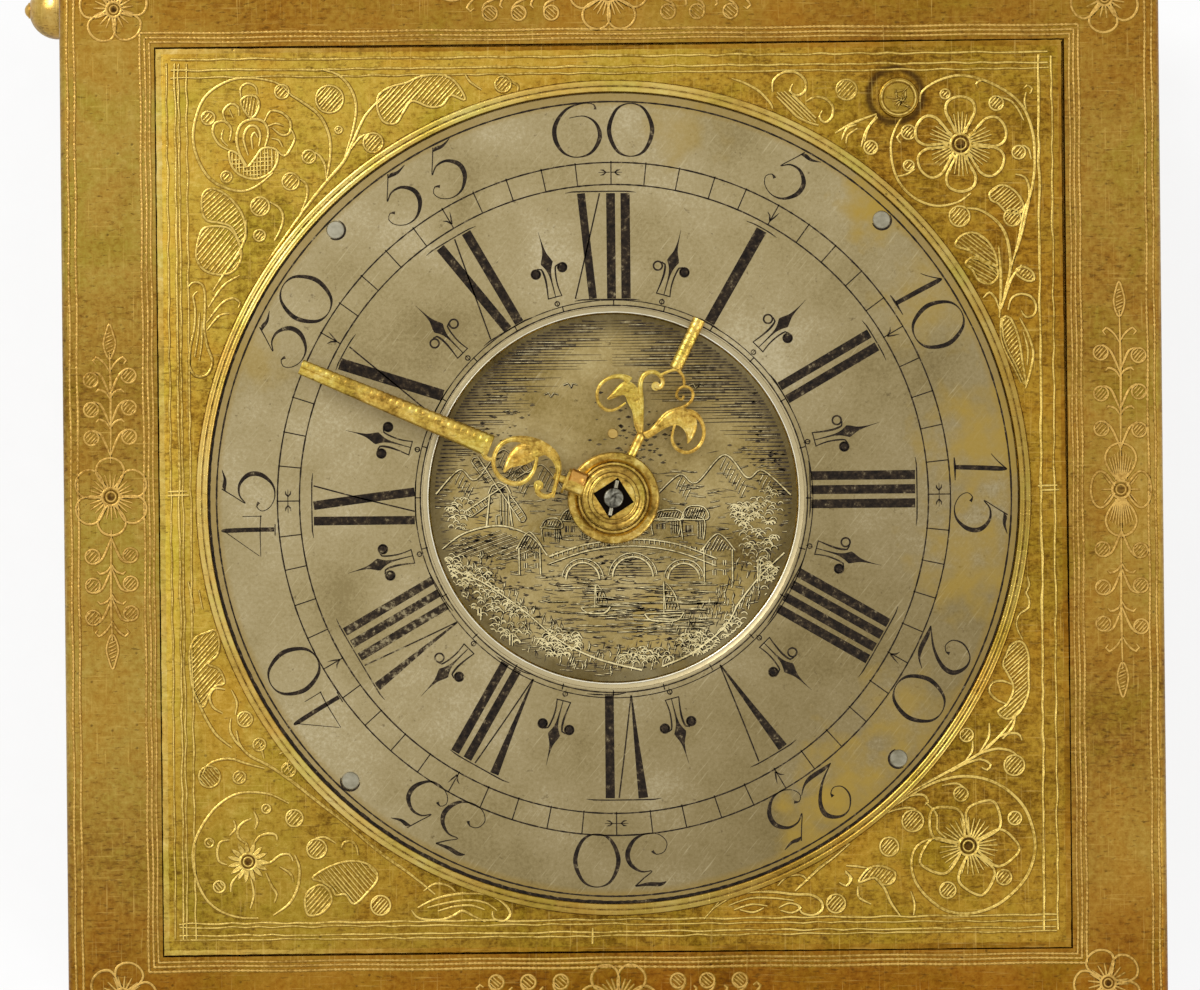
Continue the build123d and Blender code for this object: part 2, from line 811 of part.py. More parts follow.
def make_dial_plug():
    crown = dial_top + plug_rise
    lip_end = plug_radius - 2 * plug_lip
    piece = turned(
        Line((0, dial_bottom), (plug_radius, dial_bottom)),
        Line((plug_radius, dial_bottom), (plug_radius, crown - plug_lip)),
        ThreePointArc(
            (plug_radius, crown - plug_lip), (plug_radius - plug_lip, crown), (lip_end, crown - 0.2),
        ),
        Line((lip_end, crown - 0.2), (0, crown - 0.1)),
        Line((0, crown - 0.1), (0, dial_bottom)),
    )
    return Pos(plug_x, plug_y, 0) * piece


def make_dial_feet():
    feet = []
    for x, y in dial_foot_places:
        foot = rod(x, y, plate_top, dial_bottom, dial_foot_radius)
        foot += rod(x, y, plate_underside - tenon_rise, plate_top, dial_foot_tenon_radius)
        foot += rod(x, y, dial_bottom, dial_bottom + dial_foot_rivet_depth, dial_foot_rivet_radius)
        feet.append(foot - taper_hole(x, y, dial_foot_pin_level))
    return group(feet)


dial_foot_pin_level = plate_underside - taper_pin_radius - seat
pillar_pin_level = plate_top + taper_pin_radius + seat


def taper_hole(x, y, level):
    return along_x(taper_pin_radius + seat, x - taper_pin_length, x + taper_pin_length, y, level)


def make_taper_pins():
    half = taper_pin_length / 2
    places = [(x, y, dial_foot_pin_level) for x, y in dial_foot_places]
    places += [(x, y, pillar_pin_level) for x, y in on_corners(pillar_place)]
    return group([along_x(taper_pin_radius, x - half, x + half, y, z) for x, y, z in places])


# Hands: flat strips follow the scrolls of each hand, which points along +X before it is turned
def ribbon(*stations):
    """A smooth strip through stations given as (along, across, width)."""
    left = []
    right = []
    for n, (x, y, width) in enumerate(stations):
        before = stations[max(n - 1, 0)]
        after = stations[min(n + 1, len(stations) - 1)]
        dx, dy = after[0] - before[0], after[1] - before[1]
        size = math.hypot(dx, dy)
        nx, ny = -dy / size * width / 2, dx / size * width / 2
        left.append((x + nx, y + ny))
        right.append((x - nx, y - ny))
    side = Spline(*left)
    other = Spline(*right)
    return make_face(Curve() + [side, Line(left[-1], right[-1]), other, Line(right[0], left[0])])


def hand_piece(outlines, thick):
    """The outlines fused to one flat piece. Across is measured clockwise, so it is turned over in Y."""
    flat = None
    for outline in outlines:
        solid = extrude(outline, thick)
        flat = solid if flat is None else flat + solid
    return mirror(flat, Plane.XZ)


minute_scroll = (
    (6.35, -2.6, 0.40), (6.62, -0.9, 0.50), (6.95, 0.55, 0.65), (7.85, 1.65, 1.00), (9.45, 2.15, 1.30),
    (11.2, 2.2, 1.10), (12.75, 1.85, 0.65), (13.85, 0.95, 0.54), (14.25, -0.36, 0.50), (14.0, -1.6, 0.45),
    (13.1, -2.6, 0.50), (11.8, -2.95, 0.54), (10.6, -2.7, 0.54), (9.75, -1.8, 0.50), (9.5, -0.6, 0.45),
    (9.75, 0.9, 0.40),
)
minute_leaf = ((12.5, -2.1, 0.25), (12.2, -0.8, 1.30), (11.4, 0.5, 2.40), (10.3, 1.5, 1.90), (9.3, 2.0, 1.20))
minute_curl = ((6.45, -2.2, 0.55), (7.0, -2.75, 0.55), (7.75, -2.85, 0.6), (8.3, -2.45, 0.7))
minute_curl_end = (8.35, -1.95, 0.55)
minute_root = ((14.1, -1.1, 0.5), (14.8, -1.4, 0.5), (15.5, -0.9, 0.7))
hour_left_body = (
    (7.9, -0.4, 0.55), (8.9, -1.15, 1.10), (10.2, -1.95, 1.30), (11.3, -2.95, 1.75), (11.75, -4.1, 1.70),
    (10.6, -5.0, 0.75), (9.75, -5.5, 0.12),
)
hour_left_curl = (
    (12.6, -4.1, 1.10), (12.75, -5.1, 0.60), (11.9, -6.4, 0.42), (10.65, -6.95, 0.36), (9.45, -6.65, 0.36),
    (8.7, -5.75, 0.38), (8.7, -4.7, 0.36), (9.4, -3.95, 0.28), (10.3, -3.45, 0.20),
)
hour_left_scroll = (
    (8.4, -0.6, 0.50), (10.1, -1.4, 0.56), (11.65, -2.2, 0.56), (12.8, -2.85, 0.56), (13.95, -2.95, 0.56),
    (14.7, -2.3, 0.48), (14.75, -1.35, 0.47), (14.2, -0.7, 0.47), (13.5, -0.75, 0.6),
)
hour_left_eye = (13.45, -1.2, 0.5)
hour_top_bar = ((14.8, -1.25, 0.35), (15.4, -0.8, 0.32), (16.2, 0.1, 0.45))
hour_right_scroll = (
    (7.9, 0.0, 0.80), (8.85, 0.62, 0.62), (10.1, 0.88, 0.50), (11.25, 1.25, 0.42), (12.15, 2.05, 0.38),
    (13.0, 2.85, 0.36), (13.9, 3.12, 0.34), (14.65, 2.85, 0.32), (14.95, 2.2, 0.30), (14.75, 1.6, 0.30),
    (14.05, 1.25, 0.30), (13.4, 1.5, 0.34), (13.35, 2.05, 0.30), (13.85, 2.12, 0.25),
)
hour_wire = ((16.15, 0.3, 0.4), (15.75, 1.1, 0.32), (14.85, 1.65, 0.28))
hour_right_body = (
    (7.8, 0.25, 0.6), (9.1, 0.95, 0.9), (10.5, 1.6, 1.5), (11.55, 2.7, 2.1), (11.3, 4.0, 1.9),
    (10.2, 4.7, 0.9), (9.2, 4.85, 0.12),
)
hour_right_curl = (
    (12.4, 3.3, 0.7), (12.45, 4.5, 0.55), (11.75, 5.55, 0.42), (10.6, 6.15, 0.40), (9.25, 6.05, 0.40),
    (8.15, 5.05, 0.40), (8.2, 3.8, 0.38), (8.95, 3.0, 0.32), (9.75, 2.75, 0.28), (10.5, 2.6, 0.30),
)


def make_minute_hand():
    blade_low = minute_boss_bottom + (minute_boss_thick - hand_thick) / 2
    strips = [minute_scroll, minute_leaf, minute_curl, minute_root]
    blade = hand_piece([ribbon(*strip) for strip in strips], hand_thick)
    x, y, radius = minute_curl_end
    blade += Pos(x, -y, hand_thick / 2) * Cylinder(radius, hand_thick)
    middle = hand_thick / 2
    rod_length = minute_rod_tip - minute_rod_root
    spire = Pos(minute_rod_root + rod_length / 2, 0.35, middle) * Rot(0, 90, 0) * Cone(
        minute_rod_root_radius, minute_rod_tip_radius, rod_length
    )
    disc_end = minute_collar_end + minute_disc_thick
    collar = along_x(minute_collar_radius, minute_collar_start, minute_collar_end, 0.3, middle)
    disc = along_x(minute_disc_radius, minute_collar_end, disc_end, 0.3, middle)
    stem = along_x(minute_stem_radius, minute_collar_end, minute_stem_end, 0.3, middle)
    lower = Pos(0, 0, blade_low) * (blade + spire + collar + disc + stem)
    boss = turned_polyline(
        (0, minute_boss_bottom), (minute_boss_radius, minute_boss_bottom),
        (minute_boss_radius, minute_boss_top - 0.35), (minute_boss_radius - 0.35, minute_boss_top),
        (minute_boss_radius - 0.8, minute_boss_top), (minute_boss_radius - 0.95, minute_boss_top - 0.25),
        (0, minute_boss_top - 0.25),
    )
    square = Pos(0, 0, minute_boss_bottom) * Box(
        hand_square + 2 * square_play, hand_square + 2 * square_play, 3 * minute_boss_thick
    )
    hand = boss + Rot(0, 0, 90 + minute_hand_angle) * lower
    return hand - Rot(0, 0, hand_pin_bearing - 45) * square


def make_hour_hand():
    blade_low = hour_boss_bottom + (hour_boss_thick - hand_thick) / 2 - 0.1
    strips = [
        hour_left_body, hour_left_curl, hour_left_scroll, hour_top_bar, hour_right_scroll, hour_wire,
        hour_right_body, hour_right_curl,
    ]
    blade = hand_piece([ribbon(*strip) for strip in strips], hand_thick)
    x, y, radius = hour_left_eye
    blade += Pos(x, -y, hand_thick / 2) * Cylinder(radius, hand_thick)
    middle = hand_thick / 2
    blade += along_x(hour_rod_radius, hour_rod_root, hour_rod_tip, -0.1, middle)
    blade += along_x(hour_stem_radius, hour_boss_radius - 1.5, hour_stem_end, 0.3, middle)
    boss = turned_polyline(
        (0, hour_boss_bottom), (hour_boss_radius - 0.2, hour_boss_bottom),
        (hour_boss_radius, hour_boss_bottom + 0.2), (hour_boss_radius, hour_boss_top - 0.7),
        (hour_boss_radius - 0.35, hour_boss_top - 0.4), (hour_boss_radius - 0.9, hour_boss_top - 0.4),
        (hour_boss_radius - 1.3, hour_boss_top), (0, hour_boss_top),
    )
    hand = boss + Pos(0, 0, blade_low) * Rot(0, 0, 90 + hour_hand_angle) * blade
    return hand - rod(0, 0, 0, arbor_top, hour_pipe_radius + seat)


hour_pipe_bore = cannon_pipe_radius + slip
hour_pipe_radius = hour_pipe_bore + hour_pipe_wall


def make_hand_pin():
    pin = along_x(hand_pin_radius, -hand_pin_length / 2, hand_pin_length / 2, 0, hand_pin_level)
    return Rot(0, 0, hand_pin_bearing) * pin


# Movement plates and pillars
def plate_with_holes(z0, z1, holes):
    plate = upright_rounded_block(plate_half, plate_corner, z0, z1)
    for x, y, radius in holes:
        plate -= rod(x, y, z0 - 1, z1 + 1, radius)
    return plate


def pivot_holes():
    return [
        (third_at[0], third_at[1], pivot_radius + slip),
        (contrate_at[0], contrate_at[1], pivot_radius + slip),
        (barrel_at[0], barrel_at[1], barrel_pivot_radius + slip),
    ]


def make_top_plate():
    holes = pivot_holes() + [(0, 0, centre_arbor_radius + slip)]
    holes += [(minute_at[0], minute_at[1], arbor_radius + seat)]
    holes += [(x, y, tenon_radius + seat) for x, y in on_corners(pillar_place)]
    holes += [(x, y, dial_foot_tenon_radius + seat) for x, y in dial_foot_places]
    return plate_with_holes(plate_underside, plate_top, holes)


def make_back_plate():
    holes = pivot_holes() + [(0, 0, pivot_radius + slip), (staff_at[0], staff_at[1], staff_hole_radius)]
    holes += [(x, y, tenon_radius + seat) for x, y in on_corners(pillar_place)]
    holes += [(x, y, plate_screw_radius + seat) for x, y in plate_screw_places]
    return plate_with_holes(back_bottom, back_top, holes)


def escapement_place(along, across=0.0):
    x, y = polar(along, crown_bearing)
    ax, ay = polar(across, crown_bearing + 90)
    return (contrate_at[0] + x + ax, contrate_at[1] + y + ay)


counter_screw_at = escapement_place(counter_place + counter_thick / 2, counter_screw_across)
potence_screw_at = escapement_place(potence_place + potence_thick / 2, potence_screw_across)
click_step = polar(click_pivot_distance, click_bearing)
click_pivot_at = (barrel_at[0] + click_step[0], barrel_at[1] + click_step[1])
beak_step = polar(ratchet_radius + click_clear, click_bearing + click_reach)
beak_from_pivot = (beak_step[0] - click_step[0], beak_step[1] - click_step[1])
click_length = math.hypot(*beak_from_pivot)
click_turn = math.degrees(math.atan2(beak_from_pivot[1], beak_from_pivot[0]))
click_spring_offset = (1.5, -6.2)  # from the pivot, along and across the click
click_spring_distance = math.hypot(*click_spring_offset)
click_spring_bearing = click_turn + math.degrees(math.atan2(click_spring_offset[1], click_spring_offset[0]))
click_spring_step = polar(click_spring_distance, click_spring_bearing)
click_spring_at = (click_pivot_at[0] + click_spring_step[0], click_pivot_at[1] + click_spring_step[1])
plate_screw_places = [counter_screw_at, potence_screw_at, cock_foot_at, click_pivot_at, click_spring_at]
ratchet_top = back_bottom - gap
ratchet_bottom = ratchet_top - ratchet_thick


def make_pillars():
    waist = pillar_radius * 0.5
    length = between_plates
    z = back_top
    profile = (
        (0, back_bottom), (tenon_radius, back_bottom), (tenon_radius, z), (pillar_radius, z),
        (pillar_radius, z + 1.5), (waist, z + 3.0), (waist, z + length * 0.3),
        (pillar_radius * 0.9, z + length * 0.42), (pillar_radius, z + length * 0.5),
        (pillar_radius * 0.9, z + length * 0.58), (waist, z + length * 0.7), (waist, z + length - 3.0),
        (pillar_radius, z + length - 1.5), (pillar_radius, z + length), (tenon_radius, z + length),
        (tenon_radius, plate_top + tenon_rise), (0, plate_top + tenon_rise),
    )
    pillar = turned_polyline(*profile)
    return group([
        Pos(x, y, 0) * pillar - taper_hole(x, y, pillar_pin_level) for x, y in on_corners(pillar_place)
    ])


def make_minute_stud():
    return rod(minute_at[0], minute_at[1], plate_underside, hour_level + wheel_thick + 1.0, arbor_radius)


# Going train
def train_arbor(at, radius):
    shaft = rod(at[0], at[1], back_top + shoulder, plate_underside - shoulder, radius)
    return shaft + rod(at[0], at[1], back_bottom, plate_top, pivot_radius)


great_turn = 0.0
centre_pinion_turn = mesh_turn(barrel_bearing + 180, centre_pinion_leaves, great_turn, great_teeth)
centre_wheel_turn = 0.0
third_pinion_turn = mesh_turn(third_bearing, third_pinion_leaves, centre_wheel_turn, centre_teeth)
third_wheel_turn = 0.0
contrate_pinion_turn = mesh_turn(contrate_bearing, contrate_pinion_leaves, third_wheel_turn, third_teeth)
cannon_turn = 0.0
minute_wheel_turn = mesh_turn(minute_bearing, minute_teeth, cannon_turn, cannon_leaves)
minute_pinion_turn = 0.0
hour_wheel_turn = mesh_turn(minute_bearing + 180, hour_teeth, minute_pinion_turn, minute_leaves)


barrel_low = great_level + wheel_thick


def make_barrel():
    """Going barrel: the great wheel's teeth stand round the floor of the drum."""
    x, y = barrel_at
    high = barrel_low + barrel_height
    floor = extrude(wheel_outline(great_teeth, great_module), wheel_thick)
    drum = Pos(x, y, great_level) * Rot(0, 0, great_turn) * floor
    drum += rod(x, y, barrel_low, high, barrel_radius)
    drum -= rod(x, y, barrel_low, high - barrel_wall, barrel_radius - barrel_wall)
    return drum - rod(x, y, 0, high + 1, barrel_arbor_radius + slip)


def make_mainspring():
    low = barrel_low + gap
    high = barrel_low + barrel_height - barrel_wall - gap
    outer = barrel_radius - barrel_wall - seat
    return tube(barrel_at[0], barrel_at[1], low, high, outer, spring_hub_radius + gap)


def make_barrel_arbor():
    x, y = barrel_at
    high = barrel_low + barrel_height
    arbor = rod(x, y, great_level - 1.5, high + 1.5, barrel_arbor_radius)
    arbor += rod(x, y, back_bottom - ratchet_thick - 1.0, plate_top, barrel_pivot_radius)
    arbor += rod(
        x, y, barrel_low + gap, high - barrel_wall - gap, spring_hub_radius
    )
    square = Pos(x, y, ratchet_bottom - winding_square_length / 2 + 0.5)
    return arbor + square * Box(winding_square, winding_square, winding_square_length)


def make_ratchet_wheel():
    points = []
    for tooth in range(ratchet_teeth):
        start = 2 * math.pi * tooth / ratchet_teeth
        end = 2 * math.pi * (tooth + 0.9) / ratchet_teeth
        points.append((ratchet_radius * math.cos(start), ratchet_radius * math.sin(start)))
        points.append(((ratchet_radius - 0.9) * math.cos(end), (ratchet_radius - 0.9) * math.sin(end)))
    wheel = extrude(make_face(Polyline(*points, close=True)), ratchet_thick)
    wheel -= Cylinder(barrel_pivot_radius + seat, 4 * ratchet_thick)
    return Pos(barrel_at[0], barrel_at[1], ratchet_bottom) * wheel


def on_click(piece):
    """Puts a piece built from the click's pivot, with its beak along +X, in its place."""
    return Pos(click_pivot_at[0], click_pivot_at[1], ratchet_bottom) * Rot(0, 0, click_turn) * piece


def make_click():
    hub = rod(0, 0, 0, ratchet_thick, click_hub_radius)
    beak = make_face(Polyline(
        (0, 0), (click_length, 0), (click_length - 0.2, -0.5), (click_hub_radius, -1.4), (0, -1.5),
        close=True,
    ))
    piece = hub + extrude(beak, ratchet_thick) - Cylinder(plate_screw_radius + slip, 4 * ratchet_thick)
    return on_click(piece)


def make_click_spring():
    x, y = click_spring_offset
    foot = rod(x, y, 0, ratchet_thick + gap, click_hub_radius)
    leaf = make_face(Polyline(
        (x + 0.5, y + 1.0), (click_length - 2.0, -1.1), (click_length - 1.6, -1.3), (x + 0.9, y + 0.7),
        close=True,
    ))
    piece = foot + extrude(leaf, ratchet_thick)
    return on_click(piece - rod(x, y, -1, 4 * ratchet_thick, plate_screw_radius + seat))


def make_centre_pinion():
    pinion = extrude(pinion_outline(centre_pinion_leaves, great_module), wheel_thick + 1.6)
    piece = Pos(0, 0, great_level - 0.8) * Rot(0, 0, centre_pinion_turn) * pinion
    piece += rod(0, 0, great_level - 2.0, centre_level + wheel_thick, centre_pipe_radius)
    return piece - rod(0, 0, 0, frame_top, centre_arbor_radius + slip)


def make_centre_wheel():
    wheel = plain_wheel(centre_teeth, centre_module, wheel_thick, 4.0, centre_pipe_radius + seat)
    return Pos(0, 0, centre_level) * Rot(0, 0, centre_wheel_turn) * wheel


def make_third_wheel():
    at = third_at
    wheel = plain_wheel(third_teeth, third_module, thin_wheel_thick, 3.0, arbor_radius - 0.1)
    pinion = extrude(pinion_outline(third_pinion_leaves, centre_module), wheel_thick + 2.4)
    piece = train_arbor(at, arbor_radius)
    piece += Pos(at[0], at[1], third_level) * Rot(0, 0, third_wheel_turn) * wheel
    return piece + Pos(at[0], at[1], centre_level - 1.2) * Rot(0, 0, third_pinion_turn) * pinion


def contrate_tooth(step):
    """One tooth of the contrate wheel, pointing down, its middle on the X axis."""
    depth = 0.75 * third_module
    height = depth + 1.15 * third_module
    pitch = 2 * math.pi * contrate_radius / contrate_teeth
    section = make_face(Polyline(
        (-pitch * 0.30, height), (-pitch * 0.08, 0), (pitch * 0.08, 0), (pitch * 0.30, height), close=True,
    ))
    tooth = extrude(Plane.YZ * section, contrate_face)
    return Rot(0, 0, step) * Pos(contrate_radius - contrate_face / 2, 0, contrate_pitch_level - depth) * tooth


def make_contrate_wheel():
    at = contrate_at
    rim_low = contrate_pitch_level + 1.05 * third_module
    rim_high = rim_low + thin_wheel_thick
    rim_outer = contrate_radius + contrate_face / 2
    wheel = tube(0, 0, rim_low, rim_high, rim_outer, contrate_radius - wheel_rim)
    wheel += rod(0, 0, rim_low, rim_high, 3.0)
    spoke = Pos(0, 0, (rim_low + rim_high) / 2) * Box(2 * contrate_radius - 1, spoke_width, thin_wheel_thick)
    for n in range(spokes // 2):
        wheel += Rot(0, 0, 45 + 90 * n) * spoke
    teeth = [contrate_tooth(360 * n / contrate_teeth) for n in range(contrate_teeth)]
    wheel = wheel.fuse(*teeth)
    pinion = extrude(pinion_outline(contrate_pinion_leaves, third_module), 3.2)
    piece = train_arbor(at, arbor_radius)
    piece += Pos(at[0], at[1], 0) * Rot(0, 0, contrate_turn) * wheel
    return piece + Pos(at[0], at[1], third_level - 1.0) * Rot(0, 0, contrate_pinion_turn) * pinion


# The crown pinion has a leaf straight up, so the contrate wheel has a gap on that line
contrate_turn = crown_bearing + 180 / contrate_teeth


def escapement(piece):
    """Puts a piece built along +X from the contrate arbor in its place."""
    return Pos(contrate_at[0], contrate_at[1], 0) * Rot(0, 0, crown_bearing) * piece


def make_crown_wheel():
    z = crown_level
    end = crown_wheel_place + crown_wheel_length
    counter_inner = counter_place + counter_thick
    arbor = along_x(crown_arbor_radius, counter_inner + shoulder, potence_place - shoulder, 0, z)
    arbor += along_x(pivot_radius, counter_place, end - 1.4, 0, z)
    pinion = extrude(pinion_outline(crown_pinion_leaves, third_module), crown_pinion_length)
    pinion = Rot(0, 90, 0) * Rot(0, 0, 180) * pinion
    arbor += Pos(contrate_radius - crown_pinion_length / 2, 0, z) * pinion
    cup = along_x(crown_radius, crown_wheel_place, end, 0, z)
    cup -= along_x(crown_radius - crown_wall, crown_wheel_place + 1.0, end + 1, 0, z)
    crossing = along_x(crown_radius - crown_wall - 0.8, 0, end + 1, 0, z)
    crossing -= along_x(1.6, 0, end + 2, 0, z)
    spoke = Box(4 * crown_wheel_length, spoke_width, 4 * crown_radius)
    for n in range(spokes // 2):
        crossing -= Pos(end, 0, z) * Rot(90 * n, 0, 0) * spoke
    cup -= crossing
    cup -= along_x(pivot_radius - 0.05, 0, end + 1, 0, z)
    step = 360 / crown_teeth
    half_pitch = math.tan(math.radians(step / 2)) * crown_radius * 1.05
    notch_face = make_face(Polyline(
        (end - crown_tooth_depth, -half_pitch * 0.9), (end + 0.5, -half_pitch * 0.95),
        (end + 0.5, half_pitch * 0.8), (end - crown_tooth_depth * 0.2, half_pitch * 0.8), close=True,
    ))
    notch = Pos(0, 0, crown_radius - 2.5) * extrude(notch_face, 4.0)
    for tooth in range(crown_teeth):
        cup -= Pos(0, 0, z) * Rot(step * tooth, 0, 0) * notch
    return escapement(arbor + cup)


def make_counter_potence():
    low = counter_place
    high = counter_place + counter_thick
    foot_end = counter_screw_across + potence_foot_margin
    block = box(low, high, -counter_half, counter_half, back_top, crown_level + 2 * crown_arbor_radius)
    foot = box(low, high, counter_half, foot_end, back_top, back_top + potence_foot_thick)
    piece = block + foot - along_x(pivot_radius + slip, low - 1, high + 1, 0, crown_level)
    piece -= rod((low + high) / 2, counter_screw_across, 0, crown_level, plate_screw_radius + seat)
    return escapement(piece)


def make_potence():
    low = potence_place
    high = potence_place + potence_thick
    foot_end = potence_screw_across + potence_foot_margin
    block = box(low, high, -potence_half, potence_half, back_top, potence_top)
    arm = box(low, staff_place + 1.6, -potence_half, potence_half, potence_top - potence_thick, potence_top)
    arm = fillet(arm.edges().filter_by(Axis.Z).group_by(Axis.X)[-1], potence_half * 0.6)
    foot = box(low, high + 0.8, potence_half, foot_end, back_top, back_top + potence_foot_thick)
    piece = block + arm + foot
    piece -= along_x(pivot_radius + slip, low - 1, high + 1, 0, crown_level)
    piece -= rod(staff_place, 0, crown_level, potence_top + 1, staff_pivot_radius + slip)
    piece -= rod((low + high) / 2, potence_screw_across, 0, crown_level, plate_screw_radius + seat)
    return escapement(piece)


def make_plate_screws():
    foot_top = back_top + potence_foot_thick
    down = screw(plate_screw_radius, foot_top - back_bottom - 0.2, screw_head_radius * 0.8, screw_head_thick)
    pieces = [Pos(x, y, foot_top) * down for x, y in (counter_screw_at, potence_screw_at)]
    cock_length = back_top - cock_level - 0.2
    long = Rot(180, 0, 0) * screw(plate_screw_radius, cock_length, screw_head_radius, screw_head_thick)
    pieces.append(Pos(cock_foot_at[0], cock_foot_at[1], cock_level) * long)
    click_screw_level = ratchet_bottom - click_screw_play
    click_screw_length = back_top - click_screw_level - 0.2
    short = Rot(180, 0, 0) * screw(
        plate_screw_radius, click_screw_length, screw_head_radius * 0.9, screw_head_thick * 0.75
    )
    for x, y in (click_pivot_at, click_spring_at):
        pieces.append(Pos(x, y, click_screw_level) * short)
    return group(pieces)


# Verge, balance and cock
def make_verge_staff():
    low_shoulder = cock_level + cock_thick + shoulder
    staff = rod(staff_place, 0, low_shoulder, potence_top - potence_thick - shoulder, staff_radius)
    staff += rod(staff_place, 0, cock_level, potence_top - 0.1, staff_pivot_radius)
    for level, turn in ((crown_level + crown_radius - 0.9, 50), (crown_level - crown_radius + 0.9, -50)):
        flag = Pos(-pallet_reach / 2, 0, 0) * Box(pallet_reach, 0.4, pallet_width)
        staff += Pos(staff_place, 0, level) * Rot(0, 0, turn) * flag
    return escapement(staff)


def make_balance_wheel():
    low = balance_level
    high = balance_level + balance_thick
    x, y = staff_at
    wheel = tube(x, y, low, high, balance_radius, balance_radius - balance_rim)
    wheel += rod(x, y, low - 0.3, high + 0.5, 1.8)
    reach = balance_radius - balance_rim / 2
    arm = Pos(reach / 2, 0, (low + high) / 2) * Box(reach, spoke_width, balance_thick * 0.7)
    for n in range(3):
        wheel += Pos(x, y, 0) * Rot(0, 0, 120 * n + 30) * arm
    return wheel - rod(x, y, 0, frame_top, staff_radius + seat)


def spiral_arcs():
    """Half circles whose centres lie either side of the staff, so that each turn grows by the pitch."""
    arcs = []
    for half in range(spring_half_turns):
        radius = spring_inner_radius + half * spring_pitch / 2
        side = 1 if half % 2 == 0 else -1
        middle = -side * spring_pitch / 4
        start = (middle + side * radius, 0)
        top = (middle, side * radius)
        end = (middle - side * radius, 0)
        arcs.append(ThreePointArc(start, top, end))
    return arcs


def make_balance_spring():
    path = Wire(spiral_arcs())
    start = path @ 0
    section = Plane(origin=start, z_dir=path % 0) * Circle(spring_wire_radius)
    spiral = sweep(section, path)
    collet = Cylinder(spring_collet_radius, spring_collet_length) - Cylinder(staff_radius + seat, 3)
    return Pos(staff_at[0], staff_at[1], spring_level) * (spiral + collet)


def make_spring_stud():
    path = Wire(spiral_arcs())
    end = path @ 1
    x = staff_at[0] + end.X
    y = staff_at[1] + end.Y
    offset = 0.5 + spring_wire_radius
    side = 1 if end.X > 0 else -1
    return rod(x + side * offset, y, spring_level - 0.6, back_bottom, 0.5)


def make_balance_cock():
    x, y = staff_at
    high = cock_level + cock_thick
    table = rod(0, 0, cock_level, high, cock_table_radius)
    neck = box(0, cock_foot_distance, -cock_neck / 2, cock_neck / 2, cock_level, high)
    foot = rod(cock_foot_distance, 0, cock_level, back_bottom, cock_foot_radius)
    piece = table + neck + foot
    for n in range(6):
        px, py = polar(cock_table_radius * 0.62, 60 * n + 30)
        piece -= rod(px, py, cock_level - 1, high + 1, cock_table_radius * 0.2)
    piece -= rod(0, 0, 0, high + 1, staff_pivot_radius + slip)
    piece -= rod(cock_foot_distance, 0, 0, frame_top, plate_screw_radius + seat)
    return Pos(x, y, 0) * Rot(0, 0, cock_bearing) * piece


# Hands' arbor and motion work
def make_centre_arbor():
    low_shoulder = back_top + shoulder
    arbor = rod(0, 0, low_shoulder, square_top, centre_arbor_radius)
    arbor += rod(0, 0, back_bottom, low_shoulder, pivot_radius)
    arbor += rod(0, 0, low_shoulder, great_level - 2.1, centre_pipe_radius)
    square = Pos(0, 0, (minute_boss_bottom + square_top) / 2) * Rot(0, 0, hand_pin_bearing - 45)
    arbor += square * Box(hand_square, hand_square, square_top - minute_boss_bottom)
    end = rod(0, 0, square_top, arbor_top, arbor_end_radius)
    end = fillet(end.edges().sort_by(Axis.Z)[-1], 0.3)
    hole = Rot(0, 0, hand_pin_bearing) * along_x(
        hand_pin_radius + seat, -hand_pin_length, hand_pin_length, 0, hand_pin_level
    )
    return arbor + end - hole


def make_friction_spring():
    low = centre_level + wheel_thick
    high = plate_underside - shoulder
    washer = tube(0, 0, low + 0.1, low + 0.5, 3.2, centre_arbor_radius + seat)
    collar = tube(0, 0, low + 0.45, high - 0.1, 1.9, centre_arbor_radius + seat)
    return washer + collar


def make_cannon_pinion():
    low = plate_top + shoulder
    pinion = extrude(pinion_outline(cannon_leaves, cannon_module), hour_level - 1.0 - low)
    piece = Pos(0, 0, low) * Rot(0, 0, cannon_turn) * pinion
    piece += rod(0, 0, low, minute_boss_bottom - 0.1, cannon_pipe_radius)
    return piece - rod(0, 0, 0, frame_top * 2, centre_arbor_radius + seat)


def make_minute_wheel():
    wheel = plain_wheel(minute_teeth, cannon_module, 1.0, 3.6, arbor_radius + slip)
    pinion_length = hour_level + wheel_thick + 0.4 - minute_level
    pinion = extrude(pinion_outline(minute_leaves, hour_module), pinion_length)
    piece = Rot(0, 0, minute_wheel_turn) * wheel + Rot(0, 0, minute_pinion_turn) * pinion
    bore = Cylinder(arbor_radius + slip, 4 * pinion_length)
    return Pos(minute_at[0], minute_at[1], minute_level) * (piece - bore)


def make_hour_wheel():
    wheel = plain_wheel(hour_teeth, hour_module, thin_wheel_thick, 4.4, 1.0)
    piece = Pos(0, 0, hour_level) * Rot(0, 0, hour_wheel_turn) * wheel
    piece += rod(0, 0, hour_level - 0.6, hour_boss_top - 0.1, hour_pipe_radius)
    return piece - rod(0, 0, 0, frame_top * 2, hour_pipe_bore)


def spring_gap_to_itself():
    """Least gap between points of the balance spring's wire that lie on different turns."""
    path = Wire(spiral_arcs())
    count = 400
    points = [path @ (n / count) for n in range(count + 1)]
    turn = int(count / spring_half_turns)
    least = min(
        (points[a] - points[b]).length for a in range(0, count, 3) for b in range(a + turn, count, 2)
    )
    return least - 2 * spring_wire_radius


